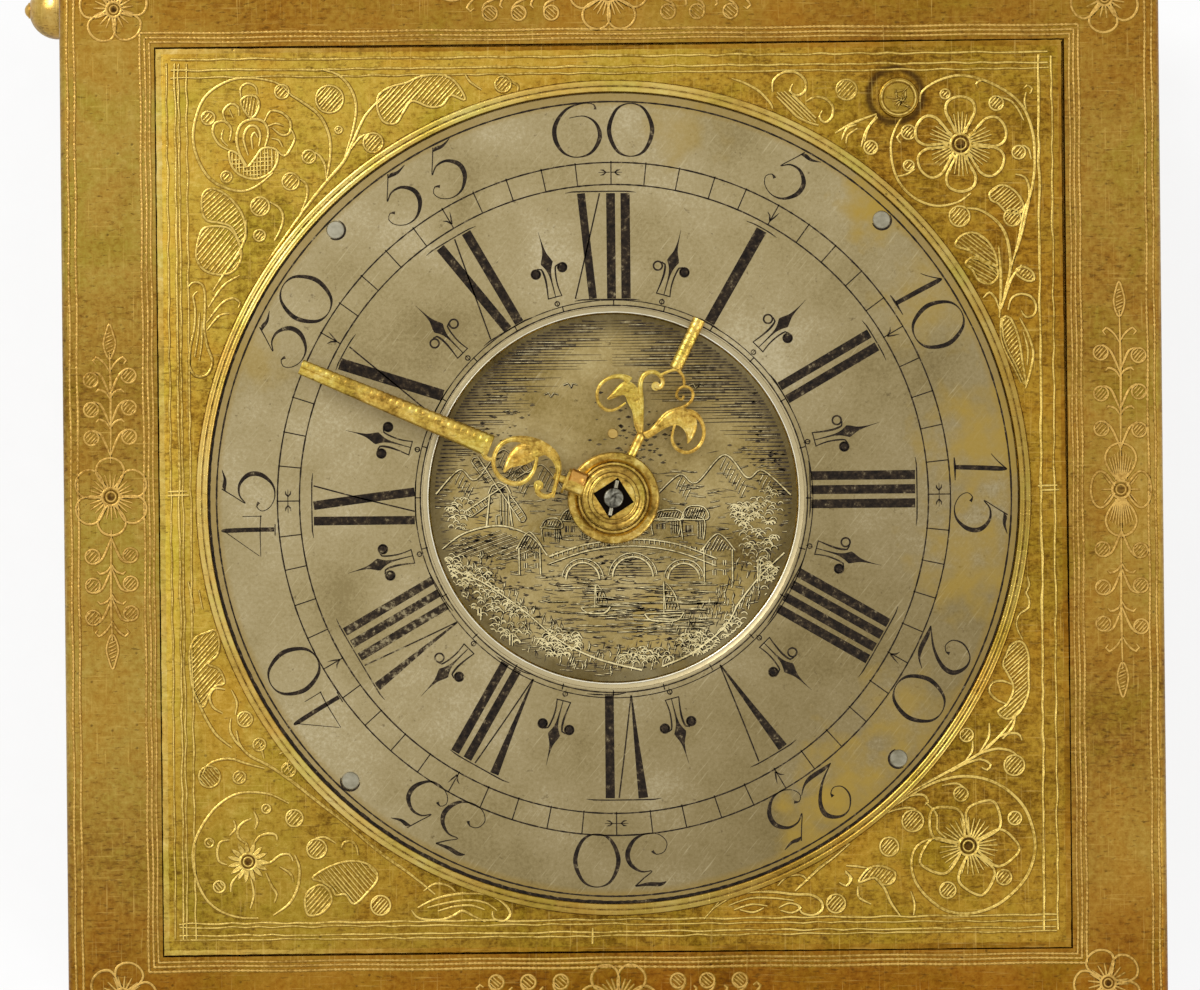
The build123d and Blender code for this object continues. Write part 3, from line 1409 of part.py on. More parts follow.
nodes = {
    "plinth": make_plinth,
    "base_plate": make_base_plate,
    "base_screws": make_base_screws,
    "hinge_lugs": make_hinge_lugs,
    "hinge_pin": make_hinge_pin,
    "finial": make_finial,
    "catch_spring": make_catch_spring,
    "catch_screws": make_catch_screws,
    "catch_button": make_catch_button,
    "button_clip": make_button_clip,
    "case_panels": make_case_panels,
    "cornice": make_cornice,
    "top_frame": make_top_frame,
    "window_bezels": make_window_bezels,
    "window_panes": make_window_panes,
    "pane_clips": make_pane_clips,
    "hinge_leaf": make_hinge_leaf,
    "hinge_leaf_screws": make_hinge_leaf_screws,
    "strike": make_strike,
    "dial_plate": make_dial_plate,
    "dial_screws": make_dial_screws,
    "dial_plug": make_dial_plug,
    "dial_feet": make_dial_feet,
    "chapter_ring": make_chapter_ring,
    "ring_rim": make_ring_rim,
    "ring_pins": make_ring_pins,
    "centre_disc": make_centre_disc,
    "centre_rivet": make_centre_rivet,
    "top_plate": make_top_plate,
    "back_plate": make_back_plate,
    "pillars": make_pillars,
    "taper_pins": make_taper_pins,
    "minute_stud": make_minute_stud,
    "counter_potence": make_counter_potence,
    "potence": make_potence,
    "plate_screws": make_plate_screws,
    "balance_cock": make_balance_cock,
    "click_spring": make_click_spring,
    "spring_stud": make_spring_stud,
    "centre_arbor": make_centre_arbor,
    "cannon_pinion": make_cannon_pinion,
    "friction_spring": make_friction_spring,
    "minute_hand": make_minute_hand,
    "hand_pin": make_hand_pin,
    "hour_wheel": make_hour_wheel,
    "hour_hand": make_hour_hand,
    "minute_wheel": make_minute_wheel,
    "barrel": make_barrel,
    "mainspring": make_mainspring,
    "barrel_arbor": make_barrel_arbor,
    "ratchet_wheel": make_ratchet_wheel,
    "click": make_click,
    "centre_pinion": make_centre_pinion,
    "centre_wheel": make_centre_wheel,
    "third_wheel": make_third_wheel,
    "contrate_wheel": make_contrate_wheel,
    "crown_wheel": make_crown_wheel,
    "verge_staff": make_verge_staff,
    "balance_wheel": make_balance_wheel,
    "balance_spring": make_balance_spring,
}

for name, make in nodes.items():
    export_step(make(), f"parts/{name}.step")

print("balance spring, least gap to itself:", round(spring_gap_to_itself(), 3))
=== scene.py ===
import math
import random

import bpy
from mathutils import Matrix


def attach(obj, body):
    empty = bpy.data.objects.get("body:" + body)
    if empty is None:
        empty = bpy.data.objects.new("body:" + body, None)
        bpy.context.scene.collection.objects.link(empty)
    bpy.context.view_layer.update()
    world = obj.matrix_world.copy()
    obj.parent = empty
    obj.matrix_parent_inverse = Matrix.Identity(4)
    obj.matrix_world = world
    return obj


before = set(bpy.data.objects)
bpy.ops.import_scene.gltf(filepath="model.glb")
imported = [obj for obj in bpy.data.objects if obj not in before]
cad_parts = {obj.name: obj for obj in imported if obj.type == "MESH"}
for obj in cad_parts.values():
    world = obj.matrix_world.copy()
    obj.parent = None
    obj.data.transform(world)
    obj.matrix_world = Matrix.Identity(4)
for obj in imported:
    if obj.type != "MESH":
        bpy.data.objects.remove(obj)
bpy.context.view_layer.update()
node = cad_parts


# Table, lamps and eye
# The clock lies on a pale table under a wide soft lamp from the upper left, in a white room.
# It is seen from straight above, 0.65 m over its top frame, turned a little on the table.

def paint(hex_colour):
    """An sRGB hex colour as the linear one that a shader takes."""
    parts = [int(hex_colour[i:i + 2], 16) / 255 for i in (1, 3, 5)]
    return [c / 12.92 if c <= 0.04045 else ((c + 0.055) / 1.055) ** 2.4 for c in parts] + [1.0]


def add(tree, kind, wires=None, stops=(), **settings):
    """One shader node: wires are its sockets' links or values, stops are a ramp's colours."""
    made = tree.nodes.new("ShaderNode" + kind)
    for name, value in settings.items():
        setattr(made, name, value)
    for socket, value in (wires or {}).items():
        if isinstance(value, bpy.types.NodeSocket):
            tree.links.new(value, made.inputs[socket])
        else:
            made.inputs[socket].default_value = value
    if stops:
        steps = made.color_ramp.elements
        for place, _ in stops[1:-1]:
            steps.new(place)
        for step, (place, colour) in zip(steps, stops):
            step.position, step.color = place, paint(colour)
    return made


def material(name):
    """An empty material and its node tree."""
    made = bpy.data.materials.new(name)
    made.use_nodes = True
    made.node_tree.nodes.clear()
    return made, made.node_tree


def put(thing):
    """Links an object into the scene."""
    bpy.context.scene.collection.objects.link(thing)
    return thing


lens = bpy.data.cameras.new("eye")
lens.sensor_width = 36
lens.lens = 171.8
lens.clip_start = 0.01
eye = put(bpy.data.objects.new("eye", lens))
eye.location = (-0.00153, 0.00034, 0.736)
eye.rotation_euler = (0, 0, math.radians(-0.57))
bpy.context.scene.camera = eye
bpy.context.scene.view_settings.view_transform = "Standard"

for name, place, size, watts in (("window_lamp", (-0.55, 0.5, 0.75), 0.45, 5.2),
                                 ("far_lamp", (0.7, -0.35, 0.6), 0.5, 2.2)):
    lamp = bpy.data.lights.new(name, "AREA")
    lamp.shape, lamp.size, lamp.energy = "DISK", size, watts
    lit = put(bpy.data.objects.new(name, lamp))
    lit.location = place
    lit.rotation_euler = (-lit.location).to_track_quat("-Z", "Y").to_euler()

room = bpy.data.worlds.new("white_room")
room.use_nodes = True
room.node_tree.nodes.clear()
bpy.context.scene.world = room
tree = room.node_tree
ray = add(tree, "LightPath").outputs
seen = add(tree, "Math", {0: ray["Is Camera Ray"], 1: ray["Is Glossy Ray"]}, operation="MAXIMUM")
seen = add(tree, "Math", {0: seen.outputs[0], 1: ray["Is Transmission Ray"]}, operation="MAXIMUM")
white = add(tree, "Background", {"Color": paint("#FFFFFF"), "Strength": 1.0})
soft = add(tree, "Background", {"Color": paint("#FBFCFF"), "Strength": 0.72})
both = add(tree, "MixShader", {0: seen.outputs[0], 1: soft.outputs[0], 2: white.outputs[0]})
add(tree, "OutputWorld", {"Surface": both.outputs[0]})

# Pale matt laminate: white to the eye, with the clock's shadow left faint on it.
laminate, tree = material("matt_white_laminate")
ray = add(tree, "LightPath").outputs
seen = add(tree, "Math", {0: ray["Is Camera Ray"], 1: ray["Is Glossy Ray"]}, operation="MAXIMUM")
grain = add(tree, "TexNoise", {"Vector": add(tree, "TexCoord").outputs["Object"],
                               "Scale": 1 / 0.004, "Detail": 2.0})
tint = add(tree, "ValToRGB", {"Fac": grain.outputs["Fac"]},
           [(0.3, "#F1F1EF"), (0.7, "#F6F6F5")])
sheet = add(tree, "BsdfPrincipled", {"Base Color": tint.outputs[0], "Roughness": 0.6})
glow = add(tree, "Emission", {"Color": paint("#FFFFFF"), "Strength": 1.0})
part = add(tree, "Math", {0: seen.outputs[0], 1: 0.8}, operation="MULTIPLY")
both = add(tree, "MixShader", {0: part.outputs[0], 1: sheet.outputs[0], 2: glow.outputs[0]})
add(tree, "OutputMaterial", {"Surface": both.outputs[0]})

ground = bpy.data.meshes.new("table")
ground.from_pydata([(-2, -2, 0), (2, -2, 0), (2, 2, 0), (-2, 2, 0)], [], [(0, 1, 2, 3)])
ground.materials.append(laminate)
table = put(bpy.data.objects.new("table", ground))


# Case: plinth, side panels, cornice and top frame
# Cast and filed brass, fire-gilt and burnished: four glazed panels, a cornice and the top frame
# are soldered into a case, hinged on its plinth. Dust and hands left it brown-gold and pitted.

def dress(material_made, *names):
    """Gives CAD nodes their finish."""
    for name in names:
        slots = node[name].data.materials
        if len(slots) == 0:
            slots.append(material_made)
        for i in range(len(slots)):
            slots[i] = material_made
        for face in node[name].data.polygons:
            face.material_index = 0


def wash(tree, where, colour, hue, heading, start, stop):
    """Darkens colour towards hue along a heading (x, y) of the top, from start to stop in mm."""
    run = add(tree, "VectorMath", {0: where, 1: (heading[0], heading[1], 0)},
              operation="DOT_PRODUCT")
    share = add(tree, "MapRange", {"Value": run.outputs["Value"], "From Min": start / 1000,
                                   "From Max": stop / 1000})
    return add(tree, "Mix", {0: share.outputs[0], 6: colour, 7: paint(hue)},
               data_type="RGBA", blend_type="MULTIPLY").outputs[2]


def fire_gilt(name, shades, pit_share, rub, dull, patch=0.022, washes=(), pores=0.5,
              halo=None):
    """Fire-gilt brass. shades run from worn-through to burnished, pit_share is the share of
    cells with a pit, rub the grain's strength, dull the mean roughness, patch the worn clouds'
    size in m, washes what wash() takes and pores how dark the pores are; halo is a ring of soot
    as (x, y, radius, width) in mm."""
    made, tree = material(name)
    where = add(tree, "TexCoord").outputs["Object"]
    clouds = add(tree, "TexNoise", {"Vector": where, "Scale": 1 / patch, "Detail": 5.0,
                                    "Roughness": 0.62, "Distortion": 0.4})
    speckle = add(tree, "TexNoise", {"Vector": where, "Scale": 1 / 0.0007, "Detail": 4.0,
                                     "Roughness": 0.75})
    mixed = add(tree, "Math", {0: speckle.outputs["Fac"], 1: rub, 2: clouds.outputs["Fac"]},
                operation="MULTIPLY_ADD")
    level = add(tree, "Math", {0: mixed.outputs[0], 1: rub * 0.5}, operation="SUBTRACT")
    tone = add(tree, "ValToRGB", {"Fac": level.outputs[0]}, shades).outputs[0]
    for hue, heading, start, stop in washes:
        tone = wash(tree, where, tone, hue, heading, start, stop)
    # copper shows red through thin gold in clouds, between greener thick gold
    blush = add(tree, "TexNoise", {"Vector": where, "Scale": 1 / 0.009, "Detail": 6.0,
                                   "Roughness": 0.65, "Distortion": 0.6})
    blush = add(tree, "ValToRGB", {"Fac": blush.outputs["Fac"]},
                [(0.34, "#FFF3E4"), (0.5, "#FFFFFF"), (0.66, "#F1FADD")])
    tone = add(tree, "Mix", {0: 1.0, 6: tone, 7: blush.outputs[0]}, data_type="RGBA",
               blend_type="MULTIPLY").outputs[2]
    # pores 0.3 mm across in rows 1 mm long, thickest where the gilding is worn
    rows = add(tree, "Mapping", {"Vector": where, "Scale": (1 / 0.0011, 1 / 0.00035, 1 / 0.0005)})
    pore = add(tree, "TexNoise", {"Vector": rows.outputs[0], "Scale": 1.0, "Detail": 3.0,
                                  "Roughness": 0.6})
    thick = add(tree, "MapRange", {"Value": clouds.outputs["Fac"], "From Min": 0.3,
                                   "From Max": 0.6, "To Min": 0.1, "To Max": 0.0})
    open_at = add(tree, "Math", {0: pore.outputs["Fac"], 1: thick.outputs[0]}, operation="ADD")
    hole = add(tree, "MapRange", {"Value": open_at.outputs[0], "From Min": 0.6,
                                  "From Max": 0.72, "To Min": 0.0, "To Max": pores})
    tone = add(tree, "Mix", {0: hole.outputs[0], 6: tone, 7: paint("#4A2E10")},
               data_type="RGBA").outputs[2]
    if halo:
        middle = (halo[0] / 1000, halo[1] / 1000, 0)
        flat = add(tree, "Mapping", {"Vector": where, "Scale": (1, 1, 0)})
        reach = add(tree, "VectorMath", {0: flat.outputs[0], 1: middle}, operation="DISTANCE")
        reach = add(tree, "Math", {0: clouds.outputs["Fac"], 1: 0.0012,
                                   2: reach.outputs["Value"]}, operation="MULTIPLY_ADD")
        reach = add(tree, "Math", {0: reach.outputs[0], 1: (halo[2] + 0.6) / 1000},
                    operation="SUBTRACT")
        reach = add(tree, "Math", {0: reach.outputs[0]}, operation="ABSOLUTE")
        soot = add(tree, "MapRange", {"Value": reach.outputs[0],
                                      "From Min": halo[3] / 4000, "From Max": halo[3] / 1000,
                                      "To Min": 0.85, "To Max": 0.0})
        tone = add(tree, "Mix", {0: soot.outputs[0], 6: tone, 7: paint("#3B2610")},
                   data_type="RGBA").outputs[2]
    # pits of 0.15 to 0.4 mm, in a share of the 1.3 mm cells
    cells = add(tree, "TexVoronoi", {"Vector": where, "Scale": 1 / 0.0013, "Randomness": 1.0})
    depth = add(tree, "MapRange", {"Value": cells.outputs["Distance"], "From Min": 0.05,
                                   "From Max": 0.17, "To Min": 1.0, "To Max": 0.0})
    lot = add(tree, "SeparateColor", {"Color": cells.outputs["Color"]})
    chosen = add(tree, "Math", {0: lot.outputs[0], 1: pit_share}, operation="LESS_THAN")
    pit = add(tree, "Math", {0: depth.outputs[0], 1: chosen.outputs[0]}, operation="MULTIPLY")
    fade = add(tree, "Math", {0: pit.outputs[0], 1: 0.62}, operation="MULTIPLY")
    pitted = add(tree, "Mix", {0: fade.outputs[0], 6: tone, 7: paint("#3A2410")},
                 data_type="RGBA")
    # rubbing scratches 0.1 mm wide and 5 mm long, both ways across the face
    along = add(tree, "Mapping", {"Vector": where, "Scale": (1 / 0.005, 1 / 0.00022, 1 / 0.001)})
    across = add(tree, "Mapping", {"Vector": where, "Scale": (1 / 0.00022, 1 / 0.006, 1 / 0.001)})
    lines_a = add(tree, "TexNoise", {"Vector": along.outputs[0], "Scale": 1.0, "Detail": 2.0})
    lines_b = add(tree, "TexNoise", {"Vector": across.outputs[0], "Scale": 1.0, "Detail": 2.0})
    lines = add(tree, "Math", {0: lines_a.outputs["Fac"], 1: lines_b.outputs["Fac"]},
                operation="MAXIMUM")
    scratch = add(tree, "MapRange", {"Value": lines.outputs[0], "From Min": 0.62,
                                     "From Max": 0.78, "To Min": 0.0, "To Max": 0.35})
    rubbed = add(tree, "Mix", {0: scratch.outputs[0], 6: pitted.outputs[2], 7: paint("#DDBB66")},
                 data_type="RGBA")
    matt = add(tree, "MapRange", {"Value": level.outputs[0], "From Min": 0.3, "From Max": 0.7,
                                  "To Min": dull + 0.12, "To Max": dull - 0.08})
    height = add(tree, "Math", {0: speckle.outputs["Fac"], 1: 0.6, 2: scratch.outputs[0]},
                 operation="MULTIPLY_ADD")
    height = add(tree, "Math", {0: height.outputs[0], 1: pit.outputs[0]}, operation="SUBTRACT")
    height = add(tree, "Math", {0: height.outputs[0], 1: hole.outputs[0]}, operation="SUBTRACT")
    bump = add(tree, "Bump", {"Height": height.outputs[0], "Strength": 0.35,
                              "Distance": 0.00006})
    metal = add(tree, "BsdfPrincipled", {"Base Color": rubbed.outputs[2], "Metallic": 1.0,
                                         "Roughness": matt.outputs[0],
                                         "Normal": bump.outputs[0]})
    add(tree, "OutputMaterial", {"Surface": metal.outputs[0]})
    return made


# Handled gilding on the case: brown-gold, speckled, with red-brown worn clouds. Its washes
# darken it towards the right, along the top edge and most along the bottom edge: painted shade.
frame_gilt = fire_gilt("handled_fire_gilding",
                       [(0.24, "#74501E"), (0.40, "#8C6A28"), (0.5, "#997932"),
                        (0.6, "#A2853A"), (0.8, "#B89C50")],
                       pit_share=0.30, rub=0.85, dull=0.42, patch=0.03, pores=0.6,
                       washes=[("#FFF8F2", (1, 0), -55, 5), ("#E9C47C", (0, -1), 40, 58),
                               ("#F3E5C6", (0, 1), 40, 58)])
dress(frame_gilt, "top_frame", "cornice", "case_panels", "plinth", "window_bezels",
      "hinge_lugs")

# The knob and the button are rubbed bright each time that the case is opened.
knob_gilt = fire_gilt("finger_bright_gilding",
                      [(0.25, "#957434"), (0.45, "#B59247"), (0.6, "#C6A75C"),
                       (0.8, "#DDC483")], pit_share=0.12, rub=0.5, dull=0.3, patch=0.01)
dress(knob_gilt, "finial", "catch_button")

# Inside the case the gilding was never rubbed: even yellow, softly matt.
inner_gilt = fire_gilt("unrubbed_fire_gilding",
                       [(0.25, "#A67F35"), (0.45, "#BE9848"), (0.55, "#CBA654"),
                        (0.75, "#DCBB6C")], pit_share=0.08, rub=0.3, dull=0.34)
dress(inner_gilt, "base_plate", "hinge_leaf", "strike", "dial_feet", "top_plate",
      "back_plate", "pillars", "counter_potence", "potence", "balance_cock", "balance_wheel")


# Wheels, steel and glass
# Filed brass wheels, filed or blued steel arbors, screws and springs, and four panes of hand-made
# glass that small brass clips hold behind the window bezels.

def turned_metal(name, dark, light, dull, grit=0.00025, stretch=0.004):
    """Filed or turned metal with a fine one-way grain and a little tarnish."""
    made, tree = material(name)
    where = add(tree, "TexCoord").outputs["Object"]
    clouds = add(tree, "TexNoise", {"Vector": where, "Scale": 1 / 0.006, "Detail": 4.0})
    along = add(tree, "Mapping", {"Vector": where, "Scale": (1 / stretch, 1 / grit, 1 / grit)})
    grain = add(tree, "TexNoise", {"Vector": along.outputs[0], "Scale": 1.0, "Detail": 3.0})
    sum_of = add(tree, "Math", {0: grain.outputs["Fac"], 1: 0.4, 2: clouds.outputs["Fac"]},
                 operation="MULTIPLY_ADD")
    tone = add(tree, "ValToRGB", {"Fac": sum_of.outputs[0]}, [(0.45, dark), (0.95, light)])
    matt = add(tree, "MapRange", {"Value": sum_of.outputs[0], "From Min": 0.4, "From Max": 1.0,
                                  "To Min": dull + 0.1, "To Max": dull - 0.06})
    bump = add(tree, "Bump", {"Height": grain.outputs["Fac"], "Strength": 0.25,
                              "Distance": 0.00003})
    metal = add(tree, "BsdfPrincipled", {"Base Color": tone.outputs[0], "Metallic": 1.0,
                                         "Roughness": matt.outputs[0],
                                         "Normal": bump.outputs[0]})
    add(tree, "OutputMaterial", {"Surface": metal.outputs[0]})
    return made


# Filed brass and steel: the file's one-way grain shows under a little tarnish.
wheel_brass = turned_metal("filed_brass", "#A5833E", "#D9BC74", 0.3)
dress(wheel_brass, "pane_clips", "hour_wheel", "minute_wheel", "barrel", "centre_wheel",
      "third_wheel", "contrate_wheel", "crown_wheel", "friction_spring", "button_clip",
      "spring_stud", "centre_rivet")
steel = turned_metal("filed_steel", "#55565A", "#9C9DA0", 0.3)
dress(steel, "base_screws", "hinge_pin", "catch_screws", "hinge_leaf_screws", "dial_screws",
      "taper_pins", "minute_stud", "plate_screws", "cannon_pinion",
      "barrel_arbor", "ratchet_wheel", "centre_pinion", "verge_staff")

# The setting square is painted near black as the shade inside the hand's square hole; only its round
# end, where keys rub, shows steel.
square_hole_shade, tree = material("setting_square_painted_shade")
where = add(tree, "TexCoord").outputs["Object"]
flat = add(tree, "Mapping", {"Vector": where, "Scale": (1, 1, 0)})
out = add(tree, "VectorMath", {0: flat.outputs[0]}, operation="LENGTH")
blot = add(tree, "TexNoise", {"Vector": where, "Scale": 1 / 0.0009, "Detail": 4.0,
                              "Distortion": 0.8})
steel_tone = add(tree, "ValToRGB", {"Fac": blot.outputs["Fac"]},
                 [(0.36, "#2E2B24"), (0.5, "#6F6C5E"), (0.66, "#A29F90")])
edge = add(tree, "MapRange", {"Value": out.outputs["Value"], "From Min": 0.00104,
                              "From Max": 0.00112})
square_shade_tone = add(tree, "Mix", {0: edge.outputs[0], 6: steel_tone.outputs[0],
                             7: paint("#120E0A")}, data_type="RGBA")
steel_end = add(tree, "BsdfPrincipled", {"Base Color": square_shade_tone.outputs[2], "Metallic": 1.0,
                                         "Roughness": 0.42})
add(tree, "OutputMaterial", {"Surface": steel_end.outputs[0]})
dress(square_hole_shade, "centre_arbor")

# The pins' ends were filed flush by hand and have weathered to a dull, dented grey.
pin_steel = turned_metal("rubbed_steel_pin", "#6C6650", "#B6B09A", 0.36, grit=0.0005,
                         stretch=0.0007)
dress(pin_steel, "ring_pins", "hand_pin")

# The springs and the click are blued by heat: dark blue with a hard shine.
blued = turned_metal("blued_spring_steel", "#1E2A45", "#3F5682", 0.25)
dress(blued, "mainspring", "balance_spring", "click_spring", "click", "catch_spring")

# Crown glass: clear, faintly green and a little uneven.
pane, tree = material("crown_glass")
where = add(tree, "TexCoord").outputs["Object"]
ripple = add(tree, "TexNoise", {"Vector": where, "Scale": 1 / 0.009, "Detail": 1.0})
dust = add(tree, "MapRange", {"Value": ripple.outputs["Fac"], "To Min": 0.01, "To Max": 0.07})
bump = add(tree, "Bump", {"Height": ripple.outputs["Fac"], "Strength": 0.15,
                          "Distance": 0.0003})
clear = add(tree, "BsdfPrincipled", {"Base Color": paint("#F0F6F1"), "IOR": 1.52,
                                     "Transmission Weight": 1.0,
                                     "Roughness": dust.outputs[0], "Normal": bump.outputs[0]})
add(tree, "OutputMaterial", {"Surface": clear.outputs[0]})
dress(pane, "window_panes")


# Dial plate and the rim round the ring
# A square of cast brass, chased and then fire-gilt. Only the engraving was burnished, so the
# ground is a granular olive-yellow. Its washes are painted light: a strip along the left edge is
# left brighter as a painted highlight, and the ground darkens towards the right and towards the
# lower left corner as painted shade.
plate_gilt = fire_gilt("granular_fire_gilding",
                       [(0.22, "#84631C"), (0.38, "#AB8831"), (0.5, "#C5A23D"),
                        (0.62, "#D2AF46"), (0.82, "#EDCB64")],
                       pit_share=0.22, rub=1.15, dull=0.4, patch=0.03, pores=0.55,
                       washes=[("#E6E6E6", (1, 0), -50.2, -49),
                               ("#E6D9C4", (0.9, -0.3), -42, 20),
                               ("#E4E1D8", (-0.5, -0.85), 32, 54)],
                       halo=(32.45, 45.35, 2.9, 0.6))
dress(plate_gilt, "dial_plate")

# Filing left a ragged lip round the plate. It nearly closes the gap to the frame, least at the
# upper right. Its gilding is rubbed and painted bright on the left as a highlight, and darkens
# towards the right as painted shade.
edge_gilt = fire_gilt("rubbed_edge_gilding_painted_lit_left",
                      [(0.3, "#A08238"), (0.45, "#BC9C48"), (0.6, "#D2B45C"),
                       (0.8, "#ECD48A")],
                      pit_share=0.15, rub=0.8, dull=0.3, patch=0.012, pores=0.4,
                      washes=[("#C4AA78", (1, 0), -49, -20)])
plate_top = 85.8
plate_half = 51.3
slip = random.Random(3)


def strip(first, rows, lanes):
    """Faces along a strip of rows of lanes points each, from point number first on."""
    return [(a, a + 1, a + lanes + 1, a + lanes) for row in range(rows - 1)
            for a in range(first + row * lanes, first + (row + 1) * lanes - 1)]


def piece(name, verts, faces, finishes, body, rounded=True):
    """A mesh of points in mm, with its finishes, on the body that it moves with."""
    shape = bpy.data.meshes.new(name)
    shape.from_pydata([(x / 1000, y / 1000, z / 1000) for x, y, z in verts], [], faces)
    for finish in finishes:
        shape.materials.append(finish)
    if rounded:
        for face in shape.polygons:
            face.use_smooth = len(face.vertices) == 4
    made = put(bpy.data.objects.new(name, shape))
    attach(made, body)
    return made


verts, faces = [], []
lip_foot = 50.9
lip_crest = 51.15
lip_reach = 51.56
lip_steps = 150
for side, gap_open in enumerate((0.26, 0.18, 0.02, 0.12)):
    c, s = ((1, 0), (0, 1), (-1, 0), (0, -1))[side]
    faces += strip(len(verts), lip_steps + 1, 5)
    for i in range(lip_steps + 1):
        t = plate_half * (2 * i / lip_steps - 1)
        gap = gap_open * (0.5 + 0.5 * math.sin(t * .05 + side))
        wide = lip_reach - gap + slip.uniform(-.03, .03)
        for out, z in ((lip_foot + slip.uniform(-.06, .06), .004), (lip_crest, .03),
                       (wide - .04, .015), (wide, -.08), (wide - .02, -.8)):
            along = max(-out, min(out, t * out / plate_half))
            verts.append((out * c - along * s, out * s + along * c, plate_top + z))
piece("plate_lip", verts, faces, [edge_gilt], "case", rounded=False)

# The rim was turned with two beads and a groove between them, and burnished after gilding.
# Its wash darkens it towards the lower right, away from the lamp: painted shade.
rim_gilt = fire_gilt("burnished_fire_gilding",
                     [(0.3, "#A98A3C"), (0.45, "#C5A552"), (0.6, "#D6BC6C"),
                      (0.8, "#E9D796")],
                     pit_share=0.05, rub=0.3, dull=0.26, patch=0.012, pores=0.3,
                     washes=[("#C6BEA2", (0.8, -0.6), -20, 40)])
dress(rim_gilt, "ring_rim")


def skin(rows, sides):
    """Faces between rows of points, each row closed on itself."""
    return [(row * sides + i, (row + 1) * sides + i, (row + 1) * sides + (i + 1) % sides,
             row * sides + (i + 1) % sides) for row in range(rows - 1) for i in range(sides)]


def washer(name, level, profile, finish, body, ragged=0.02, sides=96):
    """Turned rings round the arbor's axis: profile is (radius, rise) in mm above level, and
    ragged how far in mm the turning strays."""
    verts = []
    for radius, rise in profile:
        for i in range(sides):
            a = 2 * math.pi * i / sides
            r = radius + ragged * (math.sin(3 * a + radius) + slip.uniform(-1, 1)) / 2
            verts.append((r * math.cos(a), r * math.sin(a), level + rise))
    piece(name, verts, skin(len(profile), sides), [finish], body)


rim_top = 87.0
for name, middle in (("rim_inner_bead", 46.32), ("rim_outer_bead", 47.02)):
    washer(name, rim_top, [(middle - .3, -.2), (middle - .29, .06), (middle - .16, .15),
                           (middle, .18), (middle + .16, .15), (middle + .29, .06),
                           (middle + .3, -.2)], rim_gilt, "case", sides=480)

# The plug that fills an old hole stands proud, so cloths have rubbed its gold thin and brown.
plug_gilt = fire_gilt("cloth_rubbed_gilding",
                      [(0.3, "#7F6420"), (0.45, "#97792B"), (0.6, "#A98936"),
                       (0.8, "#C2A14C")],
                      pit_share=0.15, rub=0.8, dull=0.3, patch=0.012, pores=0.4)
dress(plug_gilt, "dial_plug")


# Chapter ring and centre disc
# A ring of brass, rubbed with silver salts and left matt, held by four steel pins. Worn silver
# lets the brass show as yellow stains. Numerals and circles are cut in and filled with wax.

ring_top = 86.8


